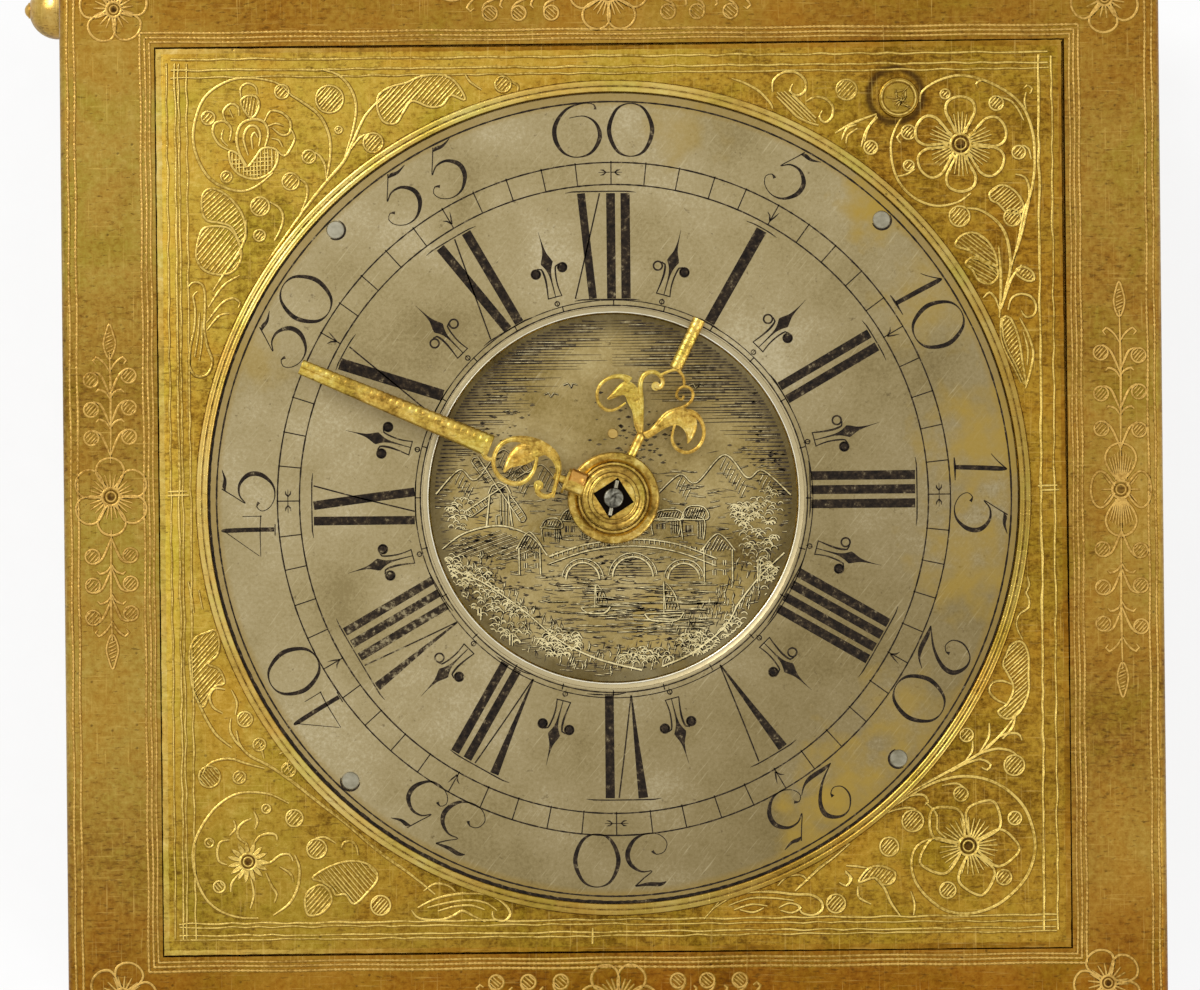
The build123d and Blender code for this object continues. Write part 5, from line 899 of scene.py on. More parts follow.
# upper left: a rose in a round scroll
cuts += [swell(line, w) for line, w in (
    ([(-36, 46), (-38, 47.6), (-41.5, 48.1), (-43.9, 47.5), (-46, 45.9), (-47.1, 43.3),
      (-47.3, 40.7), (-46.5, 38.2), (-45.2, 36.5), (-43.3, 35.5), (-41.5, 35.3), (-39.9, 36),
      (-38.3, 37.3)], .34),
    ([(-32.3, 36.2), (-31.8, 39), (-31.9, 41.5), (-33, 43.8), (-34.9, 45.3), (-36.2, 46.1)], .36),
    ([(-38.9, 27.4), (-37.3, 29.6), (-35.2, 32.5), (-33.6, 34.6), (-32, 36.5), (-30.2, 38.6),
      (-29.2, 40.7), (-27.8, 43.6), (-26, 45.6)], .42),
    ([(-30.2, 38.8), (-29.2, 42), (-28.8, 44.6), (-29.3, 46.6), (-30.7, 48.3), (-32.8, 49)], .34),
    ([(-35.4, 36.6), (-34.7, 36.2), (-34.4, 35.2), (-34.6, 34.1), (-35.2, 32.7)], .3),
    ([(-38.7, 34), (-37.6, 33.3), (-37.2, 32.2), (-37.5, 30.9), (-38.2, 29.6)], .3),
    ([(-33.6, 39.6), (-33, 39.2), (-32.4, 38.1), (-32.3, 36.8)], .26),
    ([(-27.6, 41.6), (-28.4, 41.2), (-29.5, 39.8)], .28),
    ([(-41.8, 45.6), (-41.9, 46.9), (-41.1, 47.5), (-40.2, 47.1), (-40, 46.2)], .24),
    ([(-41.3, 38.2), (-42.1, 39.6), (-42.4, 41.3), (-41.9, 42.8), (-40.6, 43.4), (-39.3, 43.1),
      (-38.8, 41.8), (-39.2, 40.2)], .36),
    ([(-41.1, 39.3), (-41.6, 41.2), (-41.1, 42.5), (-40.2, 42.6), (-39.7, 41.6), (-39.9, 40.3)],
     .3),
    ([(-40.6, 40), (-40.7, 41.4), (-40.3, 41.9), (-40, 41.3)], .24),
    ([(-43.2, 39.9), (-44.4, 40.6), (-45.1, 41.9), (-44.8, 43), (-43.7, 43.2), (-43, 42.3),
      (-43.2, 41)], .3),
    ([(-43.6, 43.1), (-43.9, 44.3), (-43, 45.2), (-42.2, 44.8), (-42.1, 43.8)], .26),
    ([(-43.9, 42.3), (-44.1, 41.2), (-43.4, 40.4)], .2), ([(-43.2, 44.5), (-42.8, 43.6)], .2),
    ([(-39.2, 43.2), (-38.5, 44.3), (-37.2, 44.1), (-36.3, 43.1), (-36.4, 41.8), (-37.3, 41.6),
      (-38.3, 42.4)], .3),
    ([(-36.3, 42.4), (-35.8, 41.2), (-36.3, 40), (-37, 39.2), (-37.9, 39.9)], .26),
    ([(-38.8, 42.6), (-37.9, 42.9), (-37, 42.6)], .22),
    ([(-38.4, 41.2), (-37.6, 41), (-37.2, 40.2)], .22),
    ([(-46, 19.5), (-44.6, 21.1), (-43.4, 21.4)], .26),
    ([(-46, 20.4), (-44.3, 22.5), (-43, 23.1), (-42.2, 22.6), (-42.4, 22)], .28),
    ([(-45.8, 22.1), (-44.1, 24.5), (-42.2, 25.7)], .26),
    ([(-45.3, 23.9), (-43.9, 26), (-42.6, 27.8), (-41.6, 29.8), (-41.4, 32)], .3),
    ([(-48.2, 24.1), (-47.6, 24.9), (-46.6, 24.8), (-46.2, 23.8), (-46.2, 21.5), (-46.3, 19.5),
      (-45.9, 17.5), (-45.4, 15.9), (-46, 14.5), (-47.2, 14.3), (-48, 15.4), (-47.9, 17.5),
      (-47.4, 19.8), (-47.3, 21.9), (-47.5, 23.4), (-47, 23.9)], .3),
    ([(-47.4, 16.5), (-47, 19), (-46.8, 21.5)], .2),
    ([(-46.9, 16), (-46.6, 18), (-46.5, 20.5)], .2),
    ([(-11.3, 47.4), (-10.4, 46.9), (-10.5, 46)], .24),
    ([(-14.5, 46.5), (-15.8, 47.4), (-16.4, 48.3)], .24))]
for x, y, r in ((-45.6, 43.6, .75), (-43.6, 36.9, .62), (-37.2, 46.5, .8), (-34.2, 39.1, .75),
                (-36.3, 36.3, .95), (-39.8, 33.5, 1.05), (-39.9, 30.2, .65), (-26.9, 40.6, 1.1),
                (-30.8, 42.1, .4), (-31.8, 45.6, 1.55), (-12.1, 47.1, .9)):
    cuts += berry(x, y, r)
cuts += leaf([(-43.2, 39.8), (-43.1, 38.4), (-42.3, 37.3), (-41, 36.7), (-39.8, 36.7),
              (-38.5, 37.4), (-37.8, 38.6), (-37.9, 39.9), (-39.4, 40.1), (-40.4, 38.9),
              (-41.3, 38), (-42.2, 39.4)], 90, .4)
cuts += hatch([(-43.1, 39.3), (-42.9, 38), (-41, 36.9), (-39.6, 36.9), (-38, 38.5), (-38, 39.5),
               (-39.5, 39.6), (-41.2, 37.9), (-42.3, 39.2)], 4, .42, .15)
cuts += leaf([(-41.9, 45.3), (-41.3, 46), (-40.2, 46), (-39.8, 45), (-40.3, 43.8), (-41, 43.7)],
             80, .36)
cuts += leaf([(-46.3, 34.9), (-45.3, 35.6), (-43.7, 34.9), (-42.3, 33.4), (-41.6, 31.8),
              (-41.5, 29.8), (-42.2, 29.6), (-43.1, 31.2), (-44.5, 31.7), (-45.9, 32),
              (-46.4, 33.2)], 42, .44)
cuts += leaf([(-46.3, 31), (-45, 31.3), (-43.3, 31), (-42.3, 29.5), (-42, 27.8), (-42.9, 26.2),
              (-44.6, 25.8), (-46.3, 26.4), (-47.1, 27.8), (-46.9, 29.6)], 50, .44)
cuts += leaf([(-26.4, 44.6), (-26.2, 46), (-24.9, 46.9), (-23, 47.4), (-21.3, 48.1), (-19, 48.2),
              (-17.5, 47.4), (-16.4, 45.4), (-18, 45.9), (-19, 44.8), (-20.4, 44.6),
              (-22.4, 45.3), (-23.4, 44.1), (-24.3, 42.8), (-25.7, 43)], 47, .42)

# upper right: a six-petalled daisy, its stalk round it and down the side
petal = [(1.1, .3), (2.3, 1.0), (3.7, 1.65), (4.9, 1.35), (5.4, 0)]
cuts += flower(39.8, 39.8, (90, 20, -29, -90, 214, 157), petal, 1.15, 6, .62, .38)
cuts += [swell(line, w) for line, w in (
    ([(45.3, 25.4), (46.2, 28.6), (46.9, 32), (47.6, 33.8), (48.1, 36.2), (48.2, 38.5),
      (48, 41), (47.1, 43.6), (45.5, 45.4), (42.8, 46.9), (39.9, 47.6), (37.3, 47), (35.5, 45.8),
      (35.2, 44.6)], .38),
    ([(33.2, 43), (32.4, 41.6), (31.9, 39.9), (32.1, 37.3), (33, 35.2), (34.7, 33.6),
      (37, 32.8), (39.4, 33.2), (40.9, 34.2)], .32),
    ([(45.4, 26), (46.2, 28.1), (46.7, 29.8), (47.1, 31.6), (47.5, 33.4), (47.5, 34.9),
      (47, 36), (46, 36.3)], .32),
    ([(40.2, 32.5), (41.9, 32.3), (43.6, 31.2), (44.7, 29.7), (45.2, 27.8), (45.3, 25.6),
      (44.8, 23.4), (44.2, 21)], .42),
    ([(44, 28.2), (44.2, 25.4), (44.2, 22.8), (44, 20)], .4),
    ([(46.6, 26), (45.5, 24.6), (44.8, 22.8), (44.3, 21.2)], .34),
    ([(42.2, 22.3), (42.9, 22.9), (43.6, 22.2), (44, 21)], .28),
    ([(45, 20.9), (45.4, 22.2), (46.4, 22.7), (47.6, 22.4), (48.2, 21.3), (47.9, 20.3),
      (47, 20.1), (46.5, 20.8)], .3),
    ([(43.9, 45.2), (44.6, 45), (45.6, 44.6), (46.4, 43.6), (47, 42.4)], .24),
    ([(46.8, 39.6), (47.5, 39.2), (47.8, 38)], .24),
    ([(41.8, 46.1), (41.6, 46.6), (42.2, 47), (43.1, 46.8)], .24),
    ([(47, 46), (47.4, 46.4), (48, 46), (47.7, 45.4)], .22),
    ([(47.3, 45.6), (47.1, 44.6), (47.3, 43.6)], .22),
    ([(30.3, 43.3), (27.6, 42.3), (25.6, 41.2)], .34),
    ([(30.3, 43.1), (29.1, 41.4), (28.5, 39.6)], .3),
    ([(30.4, 42.9), (29.4, 41.8), (28.9, 40.2)], .24),
    ([(28, 42.1), (26.9, 41.7), (26.3, 40.4)], .3), ([(28.1, 41.7), (27, 40.9), (26.8, 40)], .24),
    ([(33.3, 41.4), (32.6, 40.6), (33, 40)], .24),
    ([(34.6, 37), (33.6, 36.4), (32.6, 36.2)], .24),
    ([(40.8, 26.8), (42.4, 26.4), (43.9, 24.8)], .28),
    ([(18.5, 45.9), (18.6, 47.2), (19.7, 48.1), (21.2, 48.1), (22.2, 47.2), (22.2, 46),
      (21.3, 45.5), (20.5, 46), (20.8, 46.8)], .34),
    ([(19, 45.4), (20.2, 44.2), (21.4, 43), (22.9, 42.3), (23.7, 42.1)], .3),
    ([(20.7, 45.5), (21.9, 44.4), (23.4, 42.9)], .28),
    ([(22.3, 44.8), (23.3, 45.3), (24.5, 45.1), (25.3, 44.2), (25.2, 43), (24.4, 42.4),
      (23.8, 43), (24.1, 43.7)], .32),
    ([(13.9, 47.5), (15.5, 46.9), (17, 46), (18.2, 44.7), (18.5, 44)], .3),
    ([(44.2, 20), (44.1, 18), (44.5, 16.4), (45.2, 15), (45.9, 13.6), (46.4, 12.6)], .36),
    ([(46.3, 20), (47.2, 18.2), (47.8, 16.2), (47.6, 14.5), (47.2, 13), (46.9, 12)], .3),
    ([(46.7, 18.4), (47.2, 16.4), (47.1, 14.6)], .22))]
for x, y, r in ((43.9, 44.4, .8), (46.4, 38.8, .75), (38.1, 45.5, .55), (33.9, 41.2, .8),
                (33.9, 37.4, .6), (29.6, 39.5, .75), (39.6, 31.6, 1.15), (45.6, 31.4, .95),
                (26.9, 46.1, 1.15)):
    cuts += berry(x, y, r)
cuts += leaf([(43.1, 34.3), (44.5, 35.1), (46, 34.3), (46.9, 32.7), (46.4, 31.9), (45, 32),
              (44, 33), (43.2, 33.4)], 40, .36)
cuts += leaf([(39.1, 28.3), (39.8, 29.4), (41.3, 29.7), (42.6, 28.9), (43.5, 27.5), (43.8, 25.9),
              (42.6, 26.4), (41.5, 27.2), (40.4, 27.8)], -38, .36)
cuts += leaf([(40.2, 26.2), (41, 25.5), (41.7, 24.3), (43, 23.9), (43.9, 24.8), (43.6, 26),
              (42.4, 26.5), (41.2, 27)], -30, .36)
cuts += leaf([(45.9, 25.4), (46.8, 25.8), (47.8, 25.2), (48, 24.3), (47.2, 24.2), (46.2, 24.8)],
             48, .36)
cuts += leaf([(44.4, 20), (44.4, 18), (44.9, 16.4), (45.9, 14.4), (46.9, 12.4), (46.6, 14.8),
              (46.3, 17), (45.9, 18.6), (45.2, 20)], 48, .38)
cuts += hatch([(18.9, 46), (20.4, 46.2), (22.6, 43.8), (23.6, 42.2), (22, 42.8), (20.2, 44.4)],
              -45, .36)

# lower left: a ragged rosette in its scroll
cuts += [swell(line, w) for line, w in (
    ([(-37.2, -34.3), (-39.6, -33.2), (-42.8, -33.1), (-45.2, -34.4), (-47, -36.6),
      (-48.1, -39.2), (-48, -42), (-46.9, -44.8), (-45.2, -46.4), (-43, -47.2), (-40.8, -47.3)],
     .32),
    ([(-39.1, -47), (-37.3, -45.7), (-36.3, -43.8), (-36.1, -41.7), (-36.6, -40.2)], .34),
    ([(-43.1, -26), (-42.7, -27.6), (-41.5, -28.9), (-39.6, -29.9), (-37.8, -31.1),
      (-36.2, -32.3), (-33.6, -34.4), (-30.9, -36.5), (-28.3, -38.8), (-26.1, -40.6),
      (-24, -42.1), (-22.6, -43.2), (-20.7, -44.8)], .4),
    ([(-47, -31), (-46.4, -29.9), (-45.2, -29.3), (-43.6, -29.2), (-42.1, -29.7), (-39.9, -30.3)],
     .3),
    ([(-42, -38.9), (-43, -38.1), (-43, -37.1), (-42.4, -36.4), (-41.5, -36)], .32),
    ([(-41.2, -35.2), (-40.8, -36.3), (-41.1, -37.2)], .34),
    ([(-41.4, -39.2), (-40.7, -38.1), (-39.5, -37.7), (-38.7, -37.9), (-38.6, -38.5)], .32),
    ([(-40.7, -41.2), (-39.4, -41), (-38.3, -40.2), (-37.2, -40.1), (-36.8, -40.9)], .3),
    ([(-44, -38.4), (-45, -38.6), (-45.4, -39.6), (-45.2, -40.8), (-44.3, -41.2)], .3),
    ([(-43.5, -36.2), (-43.3, -37.1), (-44, -37.9)], .28),
    ([(-38.3, -41.5), (-37.1, -42.3), (-36.8, -43.3)], .3),
    ([(-42.9, -42.2), (-43.8, -43.3), (-43.9, -44.3)], .28),
    ([(-41.6, -42.8), (-41.3, -44.6), (-41.7, -46.2)], .28),
    ([(-39.9, -42.2), (-39.3, -43.6), (-38.7, -44.6), (-39, -45.6)], .28),
    ([(-40.6, -27.1), (-40.3, -28), (-40, -29.2)], .26),
    ([(-38.2, -28.7), (-37.5, -28.4), (-36.9, -29), (-37.3, -29.9), (-36.9, -31.2)], .28),
    ([(-34.2, -38.3), (-33.1, -38.2), (-31.9, -38.9)], .26),
    ([(-31.3, -39.4), (-31, -38.8), (-30.1, -38.7), (-29.6, -39.3), (-29.4, -40.3)], .28),
    ([(-47.9, -21.5), (-47, -23.6), (-46.2, -25.2), (-45.2, -26.6), (-43.6, -27.9)], .34),
    ([(-43.7, -24.6), (-43.8, -26), (-43.1, -27.3), (-42.2, -28.2)], .3),
    ([(-44.3, -21.3), (-45.5, -21.2), (-46.1, -22.1), (-45.7, -23.3), (-44.6, -24)], .3),
    ([(-43.6, -21.4), (-43, -22.8), (-43.2, -24.2)], .26),
    ([(-48.4, -9), (-48, -11), (-47.8, -12.6)], .24), ([(-47.2, -10), (-46.8, -12.2)], .2),
    ([(-22.7, -46.3), (-20.9, -45.4), (-19, -44.9), (-16.9, -44.7), (-14.6, -44.9),
      (-12.9, -45.9), (-12.2, -47.1), (-12.9, -47.9), (-14.1, -47.6), (-14.2, -46.8)], .34),
    ([(-23.4, -46.6), (-22.5, -47.5), (-20.2, -47.7), (-18.8, -47.3), (-17.6, -46.7),
      (-16.4, -47.3), (-15, -48)], .3),
    ([(-21.6, -46.3), (-19.5, -45.8), (-17, -45.5), (-15, -45.8), (-13.7, -46.7)], .22),
    ([(-20.4, -46.7), (-18.5, -46.2), (-16.6, -46.1), (-15.1, -46.6)], .22),
    ([(-22, -44.4), (-20.7, -43.6), (-19.2, -43.8), (-18.4, -44.5)], .26))]
cuts += flower(-41.9, -40.9, range(0, 360, 24), [(1, .1), (1.4, .16), (1.9, .1), (2.3, 0)],
               .95, 1, .9, .2)
for x, y, r in ((-39.8, -34.9, .5), (-46.2, -31.2, 1.2), (-42.8, -31.3, .7), (-36.6, -36, .95),
                (-34.1, -39.5, 1.1), (-46.3, -38.7, .5), (-45.2, -43.7, .65), (-40.5, -27.6, .7),
                (-26.9, -46, 1.1), (-42.1, -24.7, .85), (-37.2, -30.5, .8)):
    cuts += berry(x, y, r, 130 if x < -45 else 48)
cuts += leaf([(-34.6, -42.8), (-33, -41.7), (-30.9, -41), (-28.8, -41.1), (-27.5, -42),
              (-27.3, -43.1), (-28.3, -44.4), (-29.9, -45.8), (-30.9, -44.7), (-32, -44.8),
              (-32.4, -44), (-33.6, -43.2)], 130, .4)
cuts += leaf([(-35.2, -44.4), (-33.8, -43.6), (-32.8, -44.2), (-32.5, -45.5), (-33.6, -46.8),
              (-35.1, -47), (-35.5, -45.7)], 48, .4)
cuts += leaf([(-46.3, -14.8), (-47.6, -15.4), (-48.3, -17), (-48.2, -19.5), (-47.9, -21.5),
              (-46.9, -23.3), (-46.2, -22), (-45.4, -20.9), (-44.4, -20.6), (-45, -19),
              (-46.2, -18.4), (-45.2, -17.4), (-44.9, -16), (-45.3, -14.6)], 48, .4)

# lower right: five pointed petals, wild and hatched, in the widest scroll
cuts += flower(39.9, -39.9, (61, -3, -77, 200, 134),
               [(1.0, .35), (2.0, 1.3), (3.4, 2.1), (4.7, 1.5), (5.8, 0)], 1.1, 6, .5, .36)
cuts += [swell(line, w) for line, w in (
    ([(26, -39.6), (28.4, -37.7), (30.6, -35.9), (32.4, -34.7), (34.9, -33.2), (37.3, -32.3),
      (39.7, -32), (42.1, -32.4), (44.4, -33.6), (46.4, -35.8), (47.4, -38.9), (47.3, -41.3),
      (46.3, -43.7), (44.4, -45.7), (42.3, -47), (39.7, -47.6), (37.3, -47.2), (35.2, -45.7),
      (33.8, -43.8), (33.4, -41.8), (33.8, -40.2), (34.9, -39.3), (36.2, -39)], .42),
    ([(20.2, -44.8), (21.4, -43.7), (22.9, -42.3), (24.6, -41), (26.4, -39.5)], .36),
    ([(29.6, -36.6), (33.6, -33.6), (37, -31.8), (39.2, -30.6), (41.6, -29.2), (43.6, -27.4),
      (45.4, -25.2)], .38),
    ([(30.2, -36.2), (31.8, -34.9), (33.5, -34.1), (34.9, -34.1), (35.4, -34.9), (35, -35.2)], .3),
    ([(30.4, -36.2), (31.6, -35.7), (33.3, -35.5), (34.2, -35.9)], .28),
    ([(37, -33), (38.6, -32.8), (39.5, -33.3)], .28),
    ([(40.3, -30), (41.7, -29.3), (43.4, -28.9), (44.9, -29.2), (45.5, -29.7)], .32),
    ([(42, -28.7), (43.8, -27.4), (45.6, -27.2), (46.1, -28)], .3),
    ([(42.4, -26), (42.3, -27.6), (41.2, -29.4)], .3),
    ([(40.5, -28), (40.4, -29.2), (39.6, -30.3)], .28),
    ([(38, -31.5), (39.6, -30.6), (41.4, -30.1), (42.5, -30.7), (42.1, -31.3), (41.5, -31)], .28),
    ([(35.1, -34.9), (36.3, -36.3), (36.4, -38), (37.4, -39)], .3),
    ([(26, -42), (27.2, -42.1), (28.4, -42.3)], .26),
    ([(27.3, -44.4), (27.4, -45.6), (28.8, -46.4)], .3),
    ([(29.3, -43.5), (30.3, -44.6), (31, -46.2), (32.1, -47.8)], .34),
    ([(33.3, -45), (33.7, -46.4), (33.6, -47.7)], .26),
    ([(26.2, -44.3), (26.4, -43.3), (25.9, -42.6)], .26),
    ([(25.9, -42.8), (26.6, -43.4), (26, -44.3), (25.2, -43.9)], .28),
    ([(18.2, -44.2), (19.2, -43.2), (20.8, -43), (21.7, -43.7)], .3),
    ([(10.9, -46.7), (12.8, -45.5), (15, -44.9), (17.6, -44.9), (20, -45.2), (22, -45.3),
      (23.1, -46), (23.2, -47), (22.2, -47.6), (20.9, -47.3), (20.5, -46.5)], .34),
    ([(12.6, -46.4), (15, -45.6), (17.6, -45.6), (20, -45.9)], .22),
    ([(13.2, -46.9), (15.2, -46.3), (17, -46.5)], .22), ([(12, -45.4), (9.8, -47.9)], .3),
    ([(18.3, -46.7), (19.6, -46.2), (20.8, -46.7), (19.8, -47.3), (18.5, -47)], .24),
    ([(16.6, -46.7), (15.4, -47.2), (13.9, -46.9)], .22),
    ([(46.3, -16.6), (45.6, -15), (45.9, -13.7), (47, -12.9), (47, -11.8), (46.7, -11.2),
      (47.1, -10.4), (46.9, -9.4)], .22),
    ([(45.4, -25.2), (45, -26.5), (43.9, -27.8)], .34),
    ([(44.3, -23.8), (43.2, -23.3), (42.4, -22.3), (42.8, -21.4), (43.9, -21.2), (45, -21.6)],
     .34))]
for x, y, r in ((39.1, -34, .8), (33.6, -37, 1.2), (30.9, -39.9, 1.05), (45.2, -36.8, .75),
                (43.9, -43.5, .85), (37.5, -44.9, .9), (45.2, -30.8, 1.15), (39.8, -27.3, .75),
                (24.8, -46.3, 1.05)):
    cuts += berry(x, y, r)
cuts += leaf([(27.4, -43.9), (28.5, -42.4), (29.9, -42.1), (31.5, -42.8), (31.3, -43.9),
              (30.2, -44.2), (29.2, -43.4)], 50, .36)
cuts += leaf([(45, -17.1), (46.2, -16.8), (46.9, -18.3), (46.9, -20.6), (46.9, -22.4),
              (46.3, -24.1), (45.4, -25.2), (44.3, -25.5), (43.4, -24.7), (44.5, -23.8),
              (45.2, -22), (44.6, -20.5), (44, -19.3), (44.4, -18.2)], 42, .36)


def scribed(x0, y0, x1, y1, width, stray=0.09):
    """A line scribed along a straight edge, never quite straight itself."""
    count = max(2, int(math.hypot(x1 - x0, y1 - y0) / 1.5))
    return smooth([(x0 + (x1 - x0) * i / count + graver.uniform(-stray, stray),
                    y0 + (y1 - y0) * i / count + graver.uniform(-stray, stray),
                    width * graver.uniform(.45, 1.15)) for i in range(count + 1)], .5)


# lines along the plate's edges, and the joint marks in the middle of its sides
for x, width in ((-49.25, .22), (-48.85, .16), (-47.95, .2), (48.45, .34), (49.95, .2),
                 (-50.2, .14)):
    cuts.append(scribed(x, -49.6, x + (.25 if x > 0 else -.1), 49.8, width))
for y, width in ((50.25, .2), (49.0, .22), (48.2, .14), (-47.9, .24), (-48.3, .14),
                 (-49.25, .2), (-49.75, .14)):
    cuts.append(scribed(-49.8, y, 49.8, y + graver.uniform(-.15, .15), width))
for x0, y0, x1, y1 in ((-50.6, 1.2, -48.4, 1.25), (-50.6, .75, -48.2, .8), (48.2, .9, 50.4, .95),
                       (48.4, .4, 50.6, .45), (-2.9, -50.6, -2.85, -48.8)):
    cuts.append([(x0, y0, .18), ((x0 + x1) / 2, (y0 + y1) / 2, .26), (x1, y1, .12)])
# worn burrs stand narrower than the strokes that the graver cut
engrave("plate_engraving", [[(x, y, .06 + w * .6) for x, y, w in cut] for cut in cuts],
        plate_top, 0.05, [plate_cut, plate_cut_dirt_and_shade], "case")

# soot is left in the flowers' hearts; along the rim's foot and in the groove turned round it the
# dark is soot and painted shade
soot_and_shade_brown = fire_gilt("soot_and_painted_shade_in_hollows", [(0.3, "#3A260E"), (0.5, "#5A3F18"),
                                                (0.75, "#86672C")],
                       pit_share=0.1, rub=1.3, dull=0.55)
engrave("plate_hearts", hearts, plate_top + .006, 0, [soot_and_shade_brown], "case")
hearts.clear()
plug_x, plug_y, plug_top = 32.8, 45.1, 86.3
plug_marks = [circle(plug_x, plug_y, 1.95, .16, step=.2)]
for i in range(14):
    x, y = plug_x + graver.uniform(-1, 1), plug_y + graver.uniform(-1, 1)
    a = graver.uniform(0, 3.1)
    plug_marks.append([(x + t * math.cos(a), y + t * math.sin(a), .12 * (1 - abs(t) / .7))
                       for t in (-.6, -.3, 0, .3, .6)])
engrave("plug_marks", plug_marks, plug_top, 0.03, [plate_cut, plate_cut_dirt_and_shade], "case")
rim_foot_radius = 47.4
rim_groove_radius = 46.67
foot_line = [(x, y, w * graver.uniform(.3, 1.2))
             for x, y, w in circle(0, 0, rim_foot_radius, .16)]
engrave("rim_foot_soot_and_shade", [foot_line], plate_top + .008, 0, [soot_and_shade_brown], "case")
groove = [(x, y, w * slip.uniform(.5, 1.3))
          for x, y, w in circle(0, 0, rim_groove_radius, .12)]
engrave("rim_groove_soot_and_shade", [groove], rim_top + .11, 0, [soot_and_shade_brown], "case")


# Engraving of the top frame
# Two beaded lines along the outer edge, three round the opening, a flowered sprig in the middle
# of each side and a flower in each corner: the same graver's work, worn almost flat by hands.
frame_cut = cut_gilt("hand_worn_graver_cut_and_painted_highlight", "#8F6A2C", "#CCA558", 0.36)
# dirt and painted shade along the feet of the frame's burrs
frame_cut_dirt_and_shade = fire_gilt("worn_dirt_and_painted_shade_in_the_cuts", [(0.3, "#684718"), (0.5, "#806022"),
                                                 (0.8, "#95742C")],
                       pit_share=0.1, rub=0.5, dull=0.5)
frame_top = 86.0
cuts = []
for half, width in ((61.55, .3), (60.75, .34), (53.25, .34), (52.7, .3), (52.2, .24)):
    for x, y in ((1, 1), (1, -1), (-1, -1), (-1, 1)):
        x0, y0, x1, y1 = half * x, half * y, half * y, -half * x
        steps = int(2 * half / .22)
        line = []
        for i in range(steps + 1):
            t = i / steps
            w = width * (0.62 + 0.38 * math.sin(i * math.pi * .8)) * graver.uniform(.8, 1.15)
            line.append((x0 + (x1 - x0) * t + .05 * math.sin(i * .11 + half),
                         y0 + (y1 - y0) * t + .05 * math.sin(i * .09 + y), w))
        cuts.append(line)


def sprig(pairs, tip, foot, fat):
    """Half a sprig, drawn upwards from its flower at (0, 0): stalk, paired leaves and berries."""
    made = [swell([(0, foot), (.1, (foot + tip) / 2), (0, tip - 3.2)], .3)]
    bud = [(0, tip), (-.42, tip - 1.1), (-.62 * fat, tip - 2.3), (-.35, tip - 3.5), (0, tip - 4),
           (.35, tip - 3.5), (.62 * fat, tip - 2.3), (.42, tip - 1.1)]
    made += [outlined(bud, .2)] + hatch(bud, 25, .36, .15)
    for base, kind in pairs:
        for side in (-1, 1):
            jog = graver.uniform(-.25, .25)
            if kind == "berry":
                made += berry(side * 2.15, base + 2.1 + jog, .82)
                made.append(swell([(0, base), (side * .45, base + 1.2), (side * 1.1, base + 2.5),
                                   (side * 1.9, base + 3 + jog)], .28))
            elif kind == "curl":
                made.append(swell([(0, base), (side * .6, base + 1), (side * 1.5, base + 1.7),
                                   (side * 1.9, base + 1.3), (side * 1.6, base + .9)], .24))
            else:
                made.append(swell([(0, base), (side * .5, base + .8), (side * 1.3, base + 1.1),
                                   (side * 1.6, base + .8)], .26))
    return made


def moved(lines, angle, x, y):
    """Lines turned by angle degrees and carried to (x, y)."""
    c, s = math.cos(math.radians(angle)), math.sin(math.radians(angle))
    return [[(x + u * c - v * s, y + u * s + v * c, w) for u, v, w in line] for line in lines]


daisy = [(.9, .3), (1.9, 1.2), (3.0, 1.6), (4.0, 1.1), (4.4, 0)]
for angle, x, y, tip, petals in ((0, 57.6, .4, 23.6, (90, 0, 180, -90)),
                                 (0, -57.05, .7, 19.6, (30, 90, 150, 210, 270, 330)),
                                 (90, 0, 57.3, 20, (0, 60, 120, 180, 240, 300)),
                                 (90, 0, -57, 20, (0, 60, 120, 180, 240, 300))):
    step = (tip - 5.4) / 4.6
    pairs = [(4.6, "berry"), (5.2 + step * .8, "leaf"), (4.6 + step * 1.1, "berry"),
             (5.2 + step * 1.9, "leaf"), (4.6 + step * 2.2, "berry"), (5.2 + step * 2.9, "curl")]
    half_sprig = sprig(pairs, tip, 3.8, 1.0 if x > 0 else 1.1)
    cuts += moved(half_sprig, angle, x, y) + moved(half_sprig, angle + 180, x, y)
    if len(petals) == 6:
        cuts += flower(x, y, petals, daisy, 1.0, 5, .5, .26)
    else:
        cuts += flower(x, y, petals[::3], [(u * 1.2, v * 1.1) for u, v in daisy], 1.0, 9, .8, .26)
        cuts += flower(x, y, petals[1:3], [(u * .78, v * 1.3) for u, v in daisy],
                       1.0, 3, .5, .26)[2:]
        hearts.pop()
for x, y, spin in ((-56.2, 56, 20), (56.3, 56.2, 50), (-56.3, -56, 0), (55.6, -55.6, 40)):
    cuts += flower(x, y, [spin + 72 * i for i in range(5)],
                   [(.8, .3), (1.7, 1.3), (2.8, 1.6), (3.6, 1.0), (3.9, 0)], .85, 4, .5, .28)
engrave("frame_hearts", hearts, frame_top + .006, 0, [soot_and_shade_brown], "case")
hearts.clear()
engrave("frame_engraving", [[(x, y, .05 + w * .68) for x, y, w in cut] for cut in cuts],
        frame_top, 0.035, [frame_cut, frame_cut_dirt_and_shade], "case")


